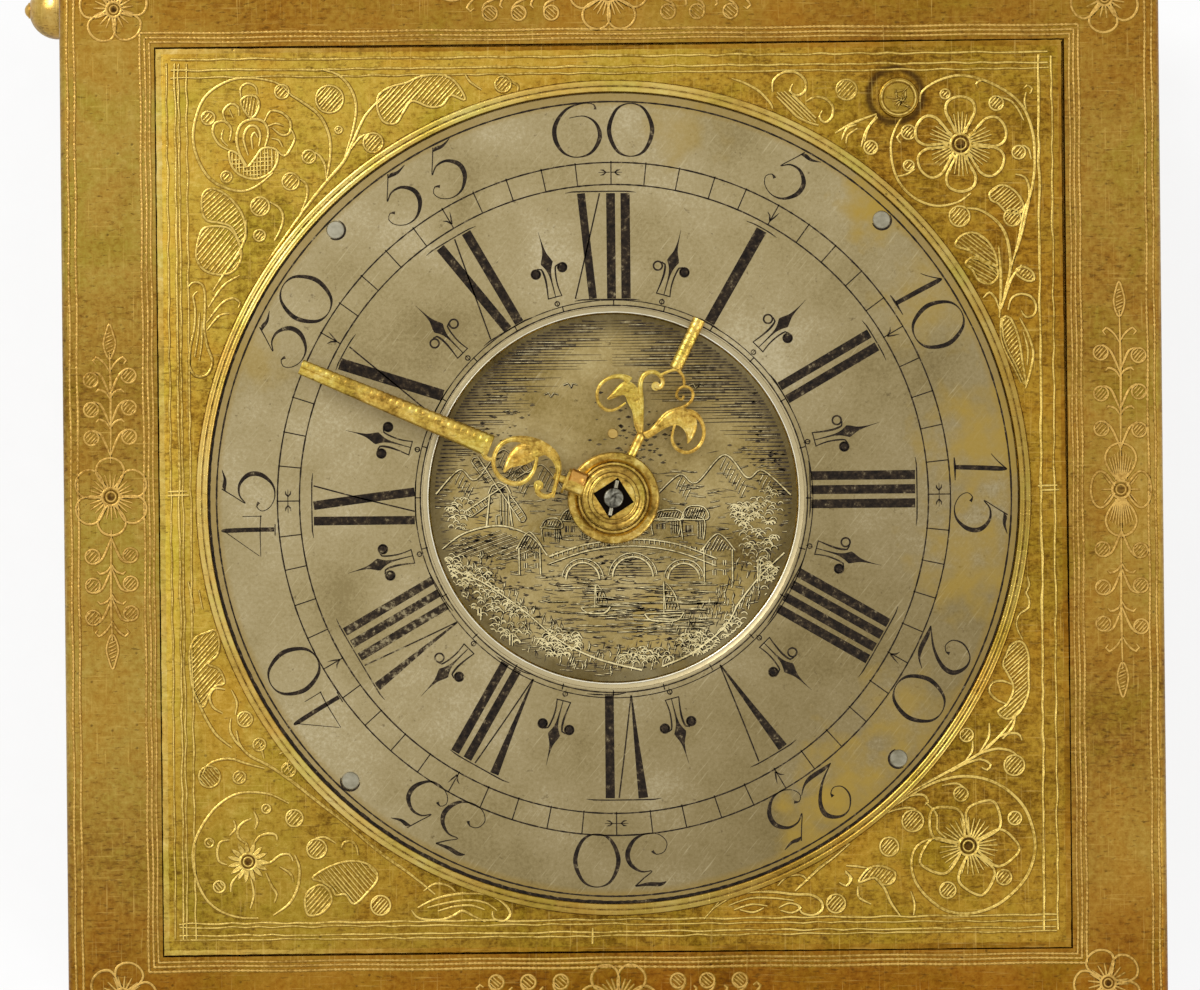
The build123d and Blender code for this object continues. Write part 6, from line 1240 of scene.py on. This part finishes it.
# Engraving of the side panels
# The same sprigs stand at both ends of each glazed side, over ruled lines. The photographed top
# doesn't show them, so they follow the frame's work; fingers never wore them, so they are crisp.
cuts = []
for x in (-52, 52):
    half_sprig = sprig([(4.6, "berry"), (5.4, "leaf"), (6.6, "curl"), (7.2, "leaf")], 15.5, 3.6, 1.0)
    cuts += moved(half_sprig, 0, x, 47) + moved(half_sprig, 180, x, 47)
    cuts += flower(x, 47, (0, 60, 120, 180, 240, 300), [(u * .85, v * .85) for u, v in daisy],
                   .9, 4, .5, .26)
for x0, x1, z0, z1 in ((-57.6, 57.6, 26, 71.4), (-57, 57, 26.6, 70.8)):
    for ends in (((x0, z0), (x1, z0)), ((x1, z0), (x1, z1)), ((x1, z1), (x0, z1)),
                 ((x0, z1), (x0, z0))):
        (ax, az), (bx, bz) = ends
        steps = int(math.hypot(bx - ax, bz - az) / .5)
        cuts.append([(ax + (bx - ax) * i / steps, az + (bz - az) * i / steps,
                      .22 * graver.uniform(.7, 1.1)) for i in range(steps + 1)])
panel_face = 58.5
upright = Matrix.Rotation(math.radians(90), 4, "X")
for side, name in enumerate(("front", "right", "back", "left")):
    carved = engrave(name + "_panel_engraving", cuts, panel_face, 0.04, [frame_cut, frame_cut_dirt_and_shade],
                     "case")
    carved.data.transform(Matrix.Rotation(math.radians(90 * side), 4, "Z") @ upright)


# Picture on the centre disc
# A small river view cut in bright lines on the darkened silver: a windmill, a bridge, boats and
# trees of no real place, under a sky of ruled strokes that crowd together at the disc's rim.
# The cuts are bright where cloths reach them and partly as a painted highlight; black tarnish fills
# the hollows between, and beside each bright outline and burr lies painted shade of the same dark.
silver_cut = cut_gilt("bright_silver_cut_and_painted_highlight", "#93814F", "#E4D4A0", 0.34)
# tarnish, and the painted shadows beside the bright lines and along the burrs' feet
silver_tarnish_and_shade, tree = material("tarnish_and_painted_shade_in_the_cuts")
where = add(tree, "TexCoord").outputs["Object"]
crumb = add(tree, "TexNoise", {"Vector": where, "Scale": 1 / 0.0007, "Detail": 4.0})
tone = add(tree, "ValToRGB", {"Fac": crumb.outputs["Fac"]},
           [(0.35, "#241B10"), (0.5, "#3E3220"), (0.7, "#6E6040")])
film = add(tree, "BsdfPrincipled", {"Base Color": tone.outputs[0], "Metallic": 0.6,
                                    "Roughness": 0.55})
add(tree, "OutputMaterial", {"Surface": film.outputs[0]})

disc_top = 85.6
cuts, shade = [], []


def inside(line, radius=20.5):
    """The points of a line that lie on the disc."""
    return [p for p in line if math.hypot(p[0], p[1]) < radius]


def drawn(points, width=.22):
    """A bright outline with its shadow beside it."""
    line = inside(smooth([(x + graver.uniform(-.05, .05), y + graver.uniform(-.05, .05),
                           width * graver.uniform(.6, 1.05)) for x, y in points], .3))
    cuts.append(line)
    shade.append([(x + .13, y - .1, .1) for x, y, _ in line])


def ruled(outline, slope, gap, width=.13):
    """Bright hatching inside an outline, with shading between the strokes."""
    for line in hatch(outline, slope, gap, width * .8, .05):
        cuts.append(inside(line))
        shade.append([(x + .08, y - gap / 2, .09) for x, y, _ in inside(line)])


# sky: long level strokes from the rim inwards, closest at the top
row = 20.1
while row > -1:
    reach = math.sqrt(max(0, 20.4 ** 2 - row ** 2))
    for side in (-1, 1):
        length = (2.5 + 15 * max(0, (row - 1) / 19) ** 1.2) * graver.uniform(.5, 1.1)
        length *= 1.25 if side > 0 else .9
        x0, x1 = side * (reach - .1), side * max(0.0, reach - length)
        shade.append([(x0, row, .2), ((x0 + x1) / 2, row + graver.uniform(-.06, .06), .14),
                      (x1, row, .04)])
        if graver.random() < .6:
            begin = graver.uniform(0, .5)
            cuts.append([(x0 + (x1 - x0) * begin, row - .14, .03),
                         (x0 + (x1 - x0) * (begin + .2), row - .14, .08),
                         (x0 + (x1 - x0) * (begin + .4), row - .14, .03)])
    row -= .32 if row > 9 else .46
for x, y in ((-7, 11.5), (-4.8, 12.6), (9.5, 12.4), (-11.5, 9.6)):
    drawn([(x - .8, y + .3), (x - .3, y + .5), (x, y), (x + .3, y + .5), (x + .8, y + .3)], .14)

# far mountains, shaded on their right
drawn([(-20.2, .6), (-17.5, 3.4), (-15.6, 2.2), (-12.5, 5.6), (-10, 3), (-8, 3.8), (-5.6, .8)], .2)
drawn([(5, .4), (7.6, 2.6), (9.4, 1.6), (12.6, 4.8), (15.2, 2.2), (17, 3), (20.1, .2)], .2)
for x, y, drop in ((-17.3, 3.2, 2.4), (-12.3, 5.3, 4.2), (-7.9, 3.6, 2.2), (7.8, 2.4, 1.8),
                   (12.8, 4.5, 3.6), (17.2, 2.8, 2.2)):
    for i in range(int(drop / .45)):
        t = i * .45
        cuts.append([(x + t * .75, y - t, .04), (x + t * .75 - .5, y - t - .9, .14),
                     (x + t * .75 - .7, y - t - 1.5, .03)])

# windmill on its mound, left
drawn([(-19.5, -5.6), (-17, -3.8), (-13, -3), (-9.6, -4.2), (-7.6, -6.4)], .24)
for side in (-1, 1):
    drawn([(-13 + side * 1.5, -3.1), (-13 + side * 1.05, .6)], .26)
    drawn([(-13 + side * 1.25, .6), (-13 + side * .8, 1.5), (-13, 1.9)], .24)
ruled([(-12.9, -3), (-11.6, -3), (-12, .6), (-12.9, .6)], 90, .34)
ruled([(-14, .7), (-12, .7), (-12.4, 1.5), (-13.6, 1.5)], 0, .3)
drawn([(-13.3, -3), (-13.3, -1.8), (-12.8, -1.8), (-12.8, -3)], .16)
hub_x, hub_y = -13, 1.1
for angle in (33, 123, 213, 303):
    c, s = math.cos(math.radians(angle)), math.sin(math.radians(angle))
    sail = [(hub_x + u * c - v * s, hub_y + u * s + v * c) for u, v in
            ((0, 0), (4.4, 0), (4.4, .8), (1.3, .7))]
    drawn(sail[:2], .2)
    drawn(sail[1:], .14)
    for i in range(6):
        u = 1.4 + i * .52
        x, y = hub_x + u * c, hub_y + u * s
        cuts.append([(x, y, .12), (x - .72 * s, y + .72 * c, .08)])
ruled([(-19, -6), (-17, -4.2), (-13, -3.4), (-9.8, -4.7), (-8.4, -6.2), (-12, -7)], 20, .5)

# three-arched bridge over the river, middle, and its two gate houses
drawn([(-7.4, -6.6), (-3, -5.2), (2, -4.7), (7, -5.3), (11.6, -7)], .26)
drawn([(-7.4, -7.4), (-3, -6), (2, -5.5), (7, -6.1), (11.6, -7.8)], .2)
for i in range(32):
    x = -7 + i * .58
    y = -6.9 + 1.7 * math.sin(math.pi * (x + 7.4) / 19)
    cuts.append([(x, y, .1), (x, y + .55, .14)])
for x, y, r in ((-3.6, -9.2, 1.9), (2.1, -9, 2.3), (7.9, -9.3, 1.8)):
    arch = circle(x, y, r, .24, -90, 90, .25)
    cuts.append(arch)
    cuts.append(circle(x, y, r + .45, .14, -85, 85, .25))
    for spoke in range(-80, 81, 20):
        a = math.radians(spoke)
        cuts.append([(x + r * math.sin(a), y + r * math.cos(a), .12),
                     (x + (r + .45) * math.sin(a), y + (r + .45) * math.cos(a), .1)])
    shade.extend(hatch([(u, v) for u, v, _ in arch[::2]], 0, .3, .16, .1))
for x, y, w, h in ((-9.6, -7, 2.4, 3), (11.8, -8, 3.2, 3.6)):
    drawn([(x - w / 2, y - 1.6), (x - w / 2, y + h - 1.6)], .22)
    drawn([(x + w / 2, y - 1.6), (x + w / 2, y + h - 1.6)], .22)
    roof = [(x - w / 2 - .3, y + h - 1.7), (x, y + h + .2), (x + w / 2 + .3, y + h - 1.7)]
    drawn(roof, .24)
    ruled(roof, 60, .34)
    for u in (-.6, .6):
        for v in (0, 1.1):
            for du in (0, .26):
                cuts.append([(x + u + du, y + v - .9, .14), (x + u + du, y + v - .3, .12)])

# houses on the far bank: hatched gables, ruled walls, small dark windows
for x, y, w, h in ((-4.4, -4.6, 3.2, 2.1), (-.9, -3.9, 2.6, 1.6), (2.6, -3.6, 2.2, 2.4),
                   (5.9, -4.2, 3.0, 1.7), (9, -4.8, 2.4, 2.3), (-7.2, -4.9, 1.8, 1.6)):
    roof = [(x - w / 2 - .2, y + h), (x - w / 4, y + h * 1.6), (x + w / 2, y + h * 1.6),
            (x + w / 2 + .4, y + h)]
    drawn(roof + roof[:1], .18)
    ruled(roof, 66, .28)
    wall = [(x - w / 2, y), (x - w / 2, y + h), (x + w / 2, y + h), (x + w / 2, y)]
    drawn(wall, .17)
    ruled([(x + w * .18, y), (x + w * .18, y + h), (x + w / 2, y + h), (x + w / 2, y)], 90, .26)
    for u in (-.32, -.12):
        shade.append([(x + w * u, y + h * .35, .26), (x + w * u, y + h * .7, .24)])
        cuts.append([(x + w * u + .18, y + h * .35, .09), (x + w * u + .18, y + h * .7, .09)])

# river: level strokes round the boats, then the near bank
for i in range(170):
    x, y = graver.uniform(-6.5, 11), graver.uniform(-15.5, -9.6)
    w = graver.uniform(.5, 1.9)
    (cuts if graver.random() < .55 else shade).append(
        inside([(x - w, y, .04), (x, y + .06, .15), (x + w, y, .04)]))
for x, y, k in ((-2.2, -12.4, 1), (5.6, -13.2, 1.35)):
    drawn([(x - 1.6 * k, y), (x - k, y - .6 * k), (x + k, y - .6 * k), (x + 1.7 * k, y + .1)], .24)
    drawn([(x - 1.6 * k, y), (x + 1.7 * k, y + .1)], .18)
    drawn([(x, y), (x, y + 2.7 * k)], .18)
    sail = [(x + .15, y + .5), (x + .15, y + 2.5 * k), (x + .9 * k, y + 1.6 * k),
            (x + 1.3 * k, y + .5)]
    drawn(sail, .18)
    ruled(sail, 75, .36)
for line in ([(-19.4, -7.6), (-15, -9.4), (-10.4, -12.6), (-6.4, -16), (-2, -18.2), (3, -19.6)],
             [(19.8, -6), (16.6, -9), (14.2, -12), (12.6, -14.6), (9, -17.6), (5.4, -19.2)]):
    drawn(line, .26)


def foliage(x, y, wide, high, count):
    """A tree's crown: a mass of short scalloped strokes."""
    for i in range(count):
        a, r = graver.uniform(0, 2 * math.pi), math.sqrt(graver.random())
        u, v = x + wide * r * math.cos(a), y + high * r * math.sin(a)
        k = graver.uniform(.25, .5)
        stroke = circle(u, v, k, .14, -70 + graver.uniform(-30, 30), 80, .15)
        (cuts if graver.random() < .78 else shade).append(inside(stroke))


# trees on forked trunks, and bushes along the banks
for x, y, wide, high, count in ((-15.4, -10.8, 2.6, 2.8, 82), (-11.8, -14.2, 2.3, 2.4, 66),
                                (16.4, -5.2, 2.1, 3.2, 66), (17.4, -1.2, 1.6, 2.2, 39),
                                (13.8, -15, 1.8, 1.9, 44), (-17.6, -1.4, 1.6, 2.2, 39),
                                (3.2, -18.2, 3.2, .9, 66), (-6.4, -16.6, 2.6, 1.6, 99),
                                (9.4, -16.8, 2.4, 1.4, 88), (14.6, -2.2, 1.7, 1.3, 66),
                                (-18, -8.4, 1.7, 2, 66), (17.9, -9.6, 1.3, 2, 55)):
    foliage(x, y, wide, high, count)
for x, y in ((-15.4, -13.4), (-11.8, -16.4), (16.4, -8.4)):
    drawn([(x - .15, y - 1.2), (x - .1, y + 1.2)], .24)
    drawn([(x + .15, y - 1.2), (x + .2, y + 1)], .2)
for i in range(420):
    a = graver.uniform(112, 248)
    r = graver.uniform(15.8, 20.2)
    x, y = r * math.sin(math.radians(a)), r * math.cos(math.radians(a))
    if abs(x) > 6 or y < -17:
        (cuts if graver.random() < .6 else shade).append(
            inside([(x, y, .04), (x + .12, y + .45, .15), (x + graver.uniform(-.1, .4), y + .9, .03)]))
# the ground between is filled with fine level flicks, and soot has settled in patches
for i in range(1500):
    a, r = graver.uniform(0, 2 * math.pi), 20.3 * math.sqrt(graver.random())
    x, y = r * math.cos(a), r * math.sin(a)
    if y > 1 + graver.uniform(0, 5) or math.hypot(x, y) < 5:
        continue
    w, tilt = graver.uniform(.25, .9), graver.uniform(-.25, .25)
    (cuts if graver.random() < .42 else shade).append(
        inside([(x - w, y - tilt * w, .03), (x, y, graver.uniform(.07, .13)),
                (x + w, y + tilt * w, .03)]))
for i in range(420):
    a, r = graver.choice([(200, 9), (235, 17), (25, 8), (300, 15), (170, 18), (80, 18)])
    a, r = math.radians(graver.gauss(a, 14)), graver.gauss(r, 1.8)
    x, y, w = r * math.sin(a), r * math.cos(a), graver.uniform(.1, .34)
    shade.append(inside([(x - w, y, .05), (x, y + graver.uniform(-.1, .1), w), (x + w, y, .05)]))
cuts = [[(x, y, w * .72) for x, y, w in cut] for cut in cuts if len(cut) > 1]
engrave("disc_picture", cuts, disc_top, 0.035, [silver_cut, silver_tarnish_and_shade], "case")
engrave("disc_shading", [cut for cut in shade if len(cut) > 1], disc_top + .012, 0, [silver_tarnish_and_shade],
        "case")


# Hands
# Each hand is sawn from brass plate, chased with leaves and scrolls that stand up in the round,
# and fire-gilt. Its rod is filed to a row of beads; the minute hand's has a copper-coloured collar.
hand_gilt = fire_gilt("chased_fire_gilding",
                      [(0.22, "#7E6224"), (0.4, "#AE8C3E"), (0.55, "#CAAA50"),
                       (0.8, "#EAD280")], pit_share=0.12, rub=1.1, dull=0.36, patch=0.003)
dress(hand_gilt, "minute_hand", "hour_hand")
collar_copper = fire_gilt("copper_toned_gilding",
                          [(0.3, "#A6742F"), (0.5, "#C6944A"), (0.8, "#E8C283")],
                          pit_share=0.05, rub=0.4, dull=0.28, patch=0.004, pores=0.2)


def on_hand(bearing, along, across):
    """A point of a hand that points to bearing; across is measured clockwise."""
    a = math.radians(bearing)
    return (along * math.sin(a) + across * math.cos(a), along * math.cos(a) - across * math.sin(a))


def chased(name, strips, bearing, top, body):
    """Rounded relief on a hand's flat top, one strip of (along, across, width) at a time. Broad
    stretches are leaves, with a sunk midrib and slanting veins."""
    lanes = 9
    verts, faces = [], []
    for points in strips:
        line = smooth(points, .12)
        faces += strip(len(verts), len(line), lanes)
        run = 0.0
        for i, (x, y, w) in enumerate(line):
            dx, dy, size = heading_at(line, i)
            run += size / 2
            w = max(w * .9, .06)
            for lane in range(lanes):
                t = -1 + 2 * lane / (lanes - 1)
                u, v = on_hand(bearing, x - dy * t * w / 2, y + dx * t * w / 2)
                rise = min(.22, .36 * w) * math.sqrt(max(0, 1 - t * t))
                leafy = min(1, max(0, (w - .8) / .6))
                rise *= 1 - leafy * (.55 * math.exp(-(t / .18) ** 2)
                                     + .22 * (.5 + .5 * math.sin(14 * (run - abs(t) * .35))))
                verts.append((u, v, top - .03 + rise))
    piece(name, verts, faces, [hand_gilt], body)


def sleeve(name, bearing, across, level, profile, finish, body, lumps=0.0, sides=20):
    """A turned skin round a hand's rod: profile is (along, radius) in mm."""
    verts = []
    for along, radius in profile:
        for i in range(sides):
            a = 2 * math.pi * i / sides
            r = radius * (1 + lumps * graver.uniform(-1, 1))
            x, y = on_hand(bearing, along, across + r * math.cos(a))
            verts.append((x, y, level + r * math.sin(a)))
    ends = [tuple(range(sides)), tuple(reversed(range(len(verts) - sides, len(verts))))]
    piece(name, verts, skin(len(profile), sides) + ends, [finish], body)


minute_strips = [
    ((6.35, -2.6, 0.40), (6.62, -0.9, 0.50), (6.95, 0.55, 0.65), (7.85, 1.65, 1.00),
     (9.45, 2.15, 1.30), (11.2, 2.2, 1.10), (12.75, 1.85, 0.65), (13.85, 0.95, 0.54),
     (14.25, -0.36, 0.50), (14.0, -1.6, 0.45), (13.1, -2.6, 0.50), (11.8, -2.95, 0.54),
     (10.6, -2.7, 0.54), (9.75, -1.8, 0.50), (9.5, -0.6, 0.45), (9.75, 0.9, 0.40)),
    ((12.5, -2.1, 0.25), (12.2, -0.8, 1.30), (11.4, 0.5, 2.40), (10.3, 1.5, 1.90),
     (9.3, 2.0, 1.20)),
    ((6.45, -2.2, 0.55), (7.0, -2.75, 0.55), (7.75, -2.85, 0.6), (8.3, -2.45, 0.7),
     (8.35, -1.95, .9)),
    ((14.1, -1.1, 0.5), (14.8, -1.4, 0.5), (15.5, -0.9, 0.7))]
hour_strips = [
    ((7.9, -0.4, 0.55), (8.9, -1.15, 1.10), (10.2, -1.95, 1.30), (11.3, -2.95, 1.75),
     (11.75, -4.1, 1.70), (10.6, -5.0, 0.75), (9.75, -5.5, 0.12)),
    ((12.6, -4.1, 1.10), (12.75, -5.1, 0.60), (11.9, -6.4, 0.42), (10.65, -6.95, 0.36),
     (9.45, -6.65, 0.36), (8.7, -5.75, 0.38), (8.7, -4.7, 0.36), (9.4, -3.95, 0.28),
     (10.3, -3.45, 0.20)),
    ((8.4, -0.6, 0.50), (10.1, -1.4, 0.56), (11.65, -2.2, 0.56), (12.8, -2.85, 0.56),
     (13.95, -2.95, 0.56), (14.7, -2.3, 0.48), (14.75, -1.35, 0.47), (14.2, -0.7, 0.47),
     (13.5, -0.75, 0.6), (13.45, -1.2, .8)),
    ((14.8, -1.25, 0.35), (15.4, -0.8, 0.32), (16.2, 0.1, 0.45)),
    ((7.9, 0.0, 0.80), (8.85, 0.62, 0.62), (10.1, 0.88, 0.50), (11.25, 1.25, 0.42),
     (12.15, 2.05, 0.38), (13.0, 2.85, 0.36), (13.9, 3.12, 0.34), (14.65, 2.85, 0.32),
     (14.95, 2.2, 0.30), (14.75, 1.6, 0.30), (14.05, 1.25, 0.30), (13.4, 1.5, 0.34),
     (13.35, 2.05, 0.30), (13.85, 2.12, 0.25)),
    ((16.15, 0.3, 0.4), (15.75, 1.1, 0.32), (14.85, 1.65, 0.28)),
    ((7.8, 0.25, 0.6), (9.1, 0.95, 0.9), (10.5, 1.6, 1.5), (11.55, 2.7, 2.1), (11.3, 4.0, 1.9),
     (10.2, 4.7, 0.9), (9.2, 4.85, 0.12)),
    ((12.4, 3.3, 0.7), (12.45, 4.5, 0.55), (11.75, 5.55, 0.42), (10.6, 6.15, 0.40),
     (9.25, 6.05, 0.40), (8.15, 5.05, 0.40), (8.2, 3.8, 0.38), (8.95, 3.0, 0.32),
     (9.75, 2.75, 0.28), (10.5, 2.6, 0.30))]
minute_bearing = -66.7
minute_top = 91.2
minute_axis = 90.7
hour_bearing = 26.4
hour_top = 88.65
hour_axis = 88.15
chased("minute_hand_relief", minute_strips, minute_bearing, minute_top, "minute_hand_arbor")
chased("hour_hand_relief", hour_strips, hour_bearing, hour_top, "hour_wheel_and_hand")


def beads(start, stop, first, last, pitch):
    """A rod's profile as a row of beads that shrink from radius first to last."""
    count = int((stop - start) / (pitch / 8))
    made = []
    for i in range(count + 1):
        t = i / count
        r = first + (last - first) * t
        made.append((start + (stop - start) * t,
                     r * (.98 + .09 * abs(math.sin(math.pi * i / 8)) ** .7)))
    return made


sleeve("minute_rod_beads", minute_bearing, .35, minute_axis, beads(15.02, 38.22, .9, .5, .78), hand_gilt,
       "minute_hand_arbor", .025)
sleeve("hour_rod_beads", hour_bearing, -.1, hour_axis, beads(16.2, 22.42, .65, .65, .7), hand_gilt,
       "hour_wheel_and_hand", .03)

# The turned bosses are handled least and have gone darker than the hands.
hour_boss_top = 89.2
minute_boss_top = 91.8
boss_gilt = fire_gilt("turned_boss_gilding",
                      [(0.22, "#6E5620"), (0.4, "#9C7D38"), (0.55, "#B89A48"),
                       (0.8, "#DEC477")], pit_share=0.12, rub=1.1, dull=0.34, patch=0.003)
washer("hour_boss_turning", hour_boss_top,
       [(3.62, .0), (3.7, .05), (3.85, .06), (3.95, .01), (4.1, .0), (4.15, .06), (4.4, .12),
        (4.7, .14), (4.95, .1), (5.1, .02), (5.17, -.12), (5.2, -.3)], boss_gilt,
       "hour_wheel_and_hand")
washer("minute_boss_turning", minute_boss_top,
       [(2.42, .0), (2.46, .08), (2.62, .12), (2.78, .08), (2.84, .0), (2.92, .0), (2.98, .09),
        (3.2, .16), (3.42, .12), (3.54, .0), (3.58, -.2)], boss_gilt,
       "minute_hand_arbor")
# old oil and dust, and painted shade, darken the grooves between the turned rings
for name, radius, level, body in (
        ("hour_boss_soot_and_shade", 4.03, hour_boss_top + .015, "hour_wheel_and_hand"),
        ("minute_boss_soot_and_shade", 2.88, minute_boss_top + .01, "minute_hand_arbor")):
    groove_soot_and_shade = [(x, y, w * slip.uniform(.6, 1.2))
             for x, y, w in circle(0, 0, radius, .13, step=.12)]
    engrave(name, [groove_soot_and_shade], level, 0, [soot_and_shade_brown], body)
sleeve("minute_collar_skin", minute_bearing, .3, minute_axis,
       [(3.6, 1.0), (3.65, 1.06), (3.9, 1.08), (4.0, 1.02), (5.2, 1.03), (5.3, 1.08),
        (5.48, 1.06), (5.5, 1.0)], collar_copper, "minute_hand_arbor", 0, 32)
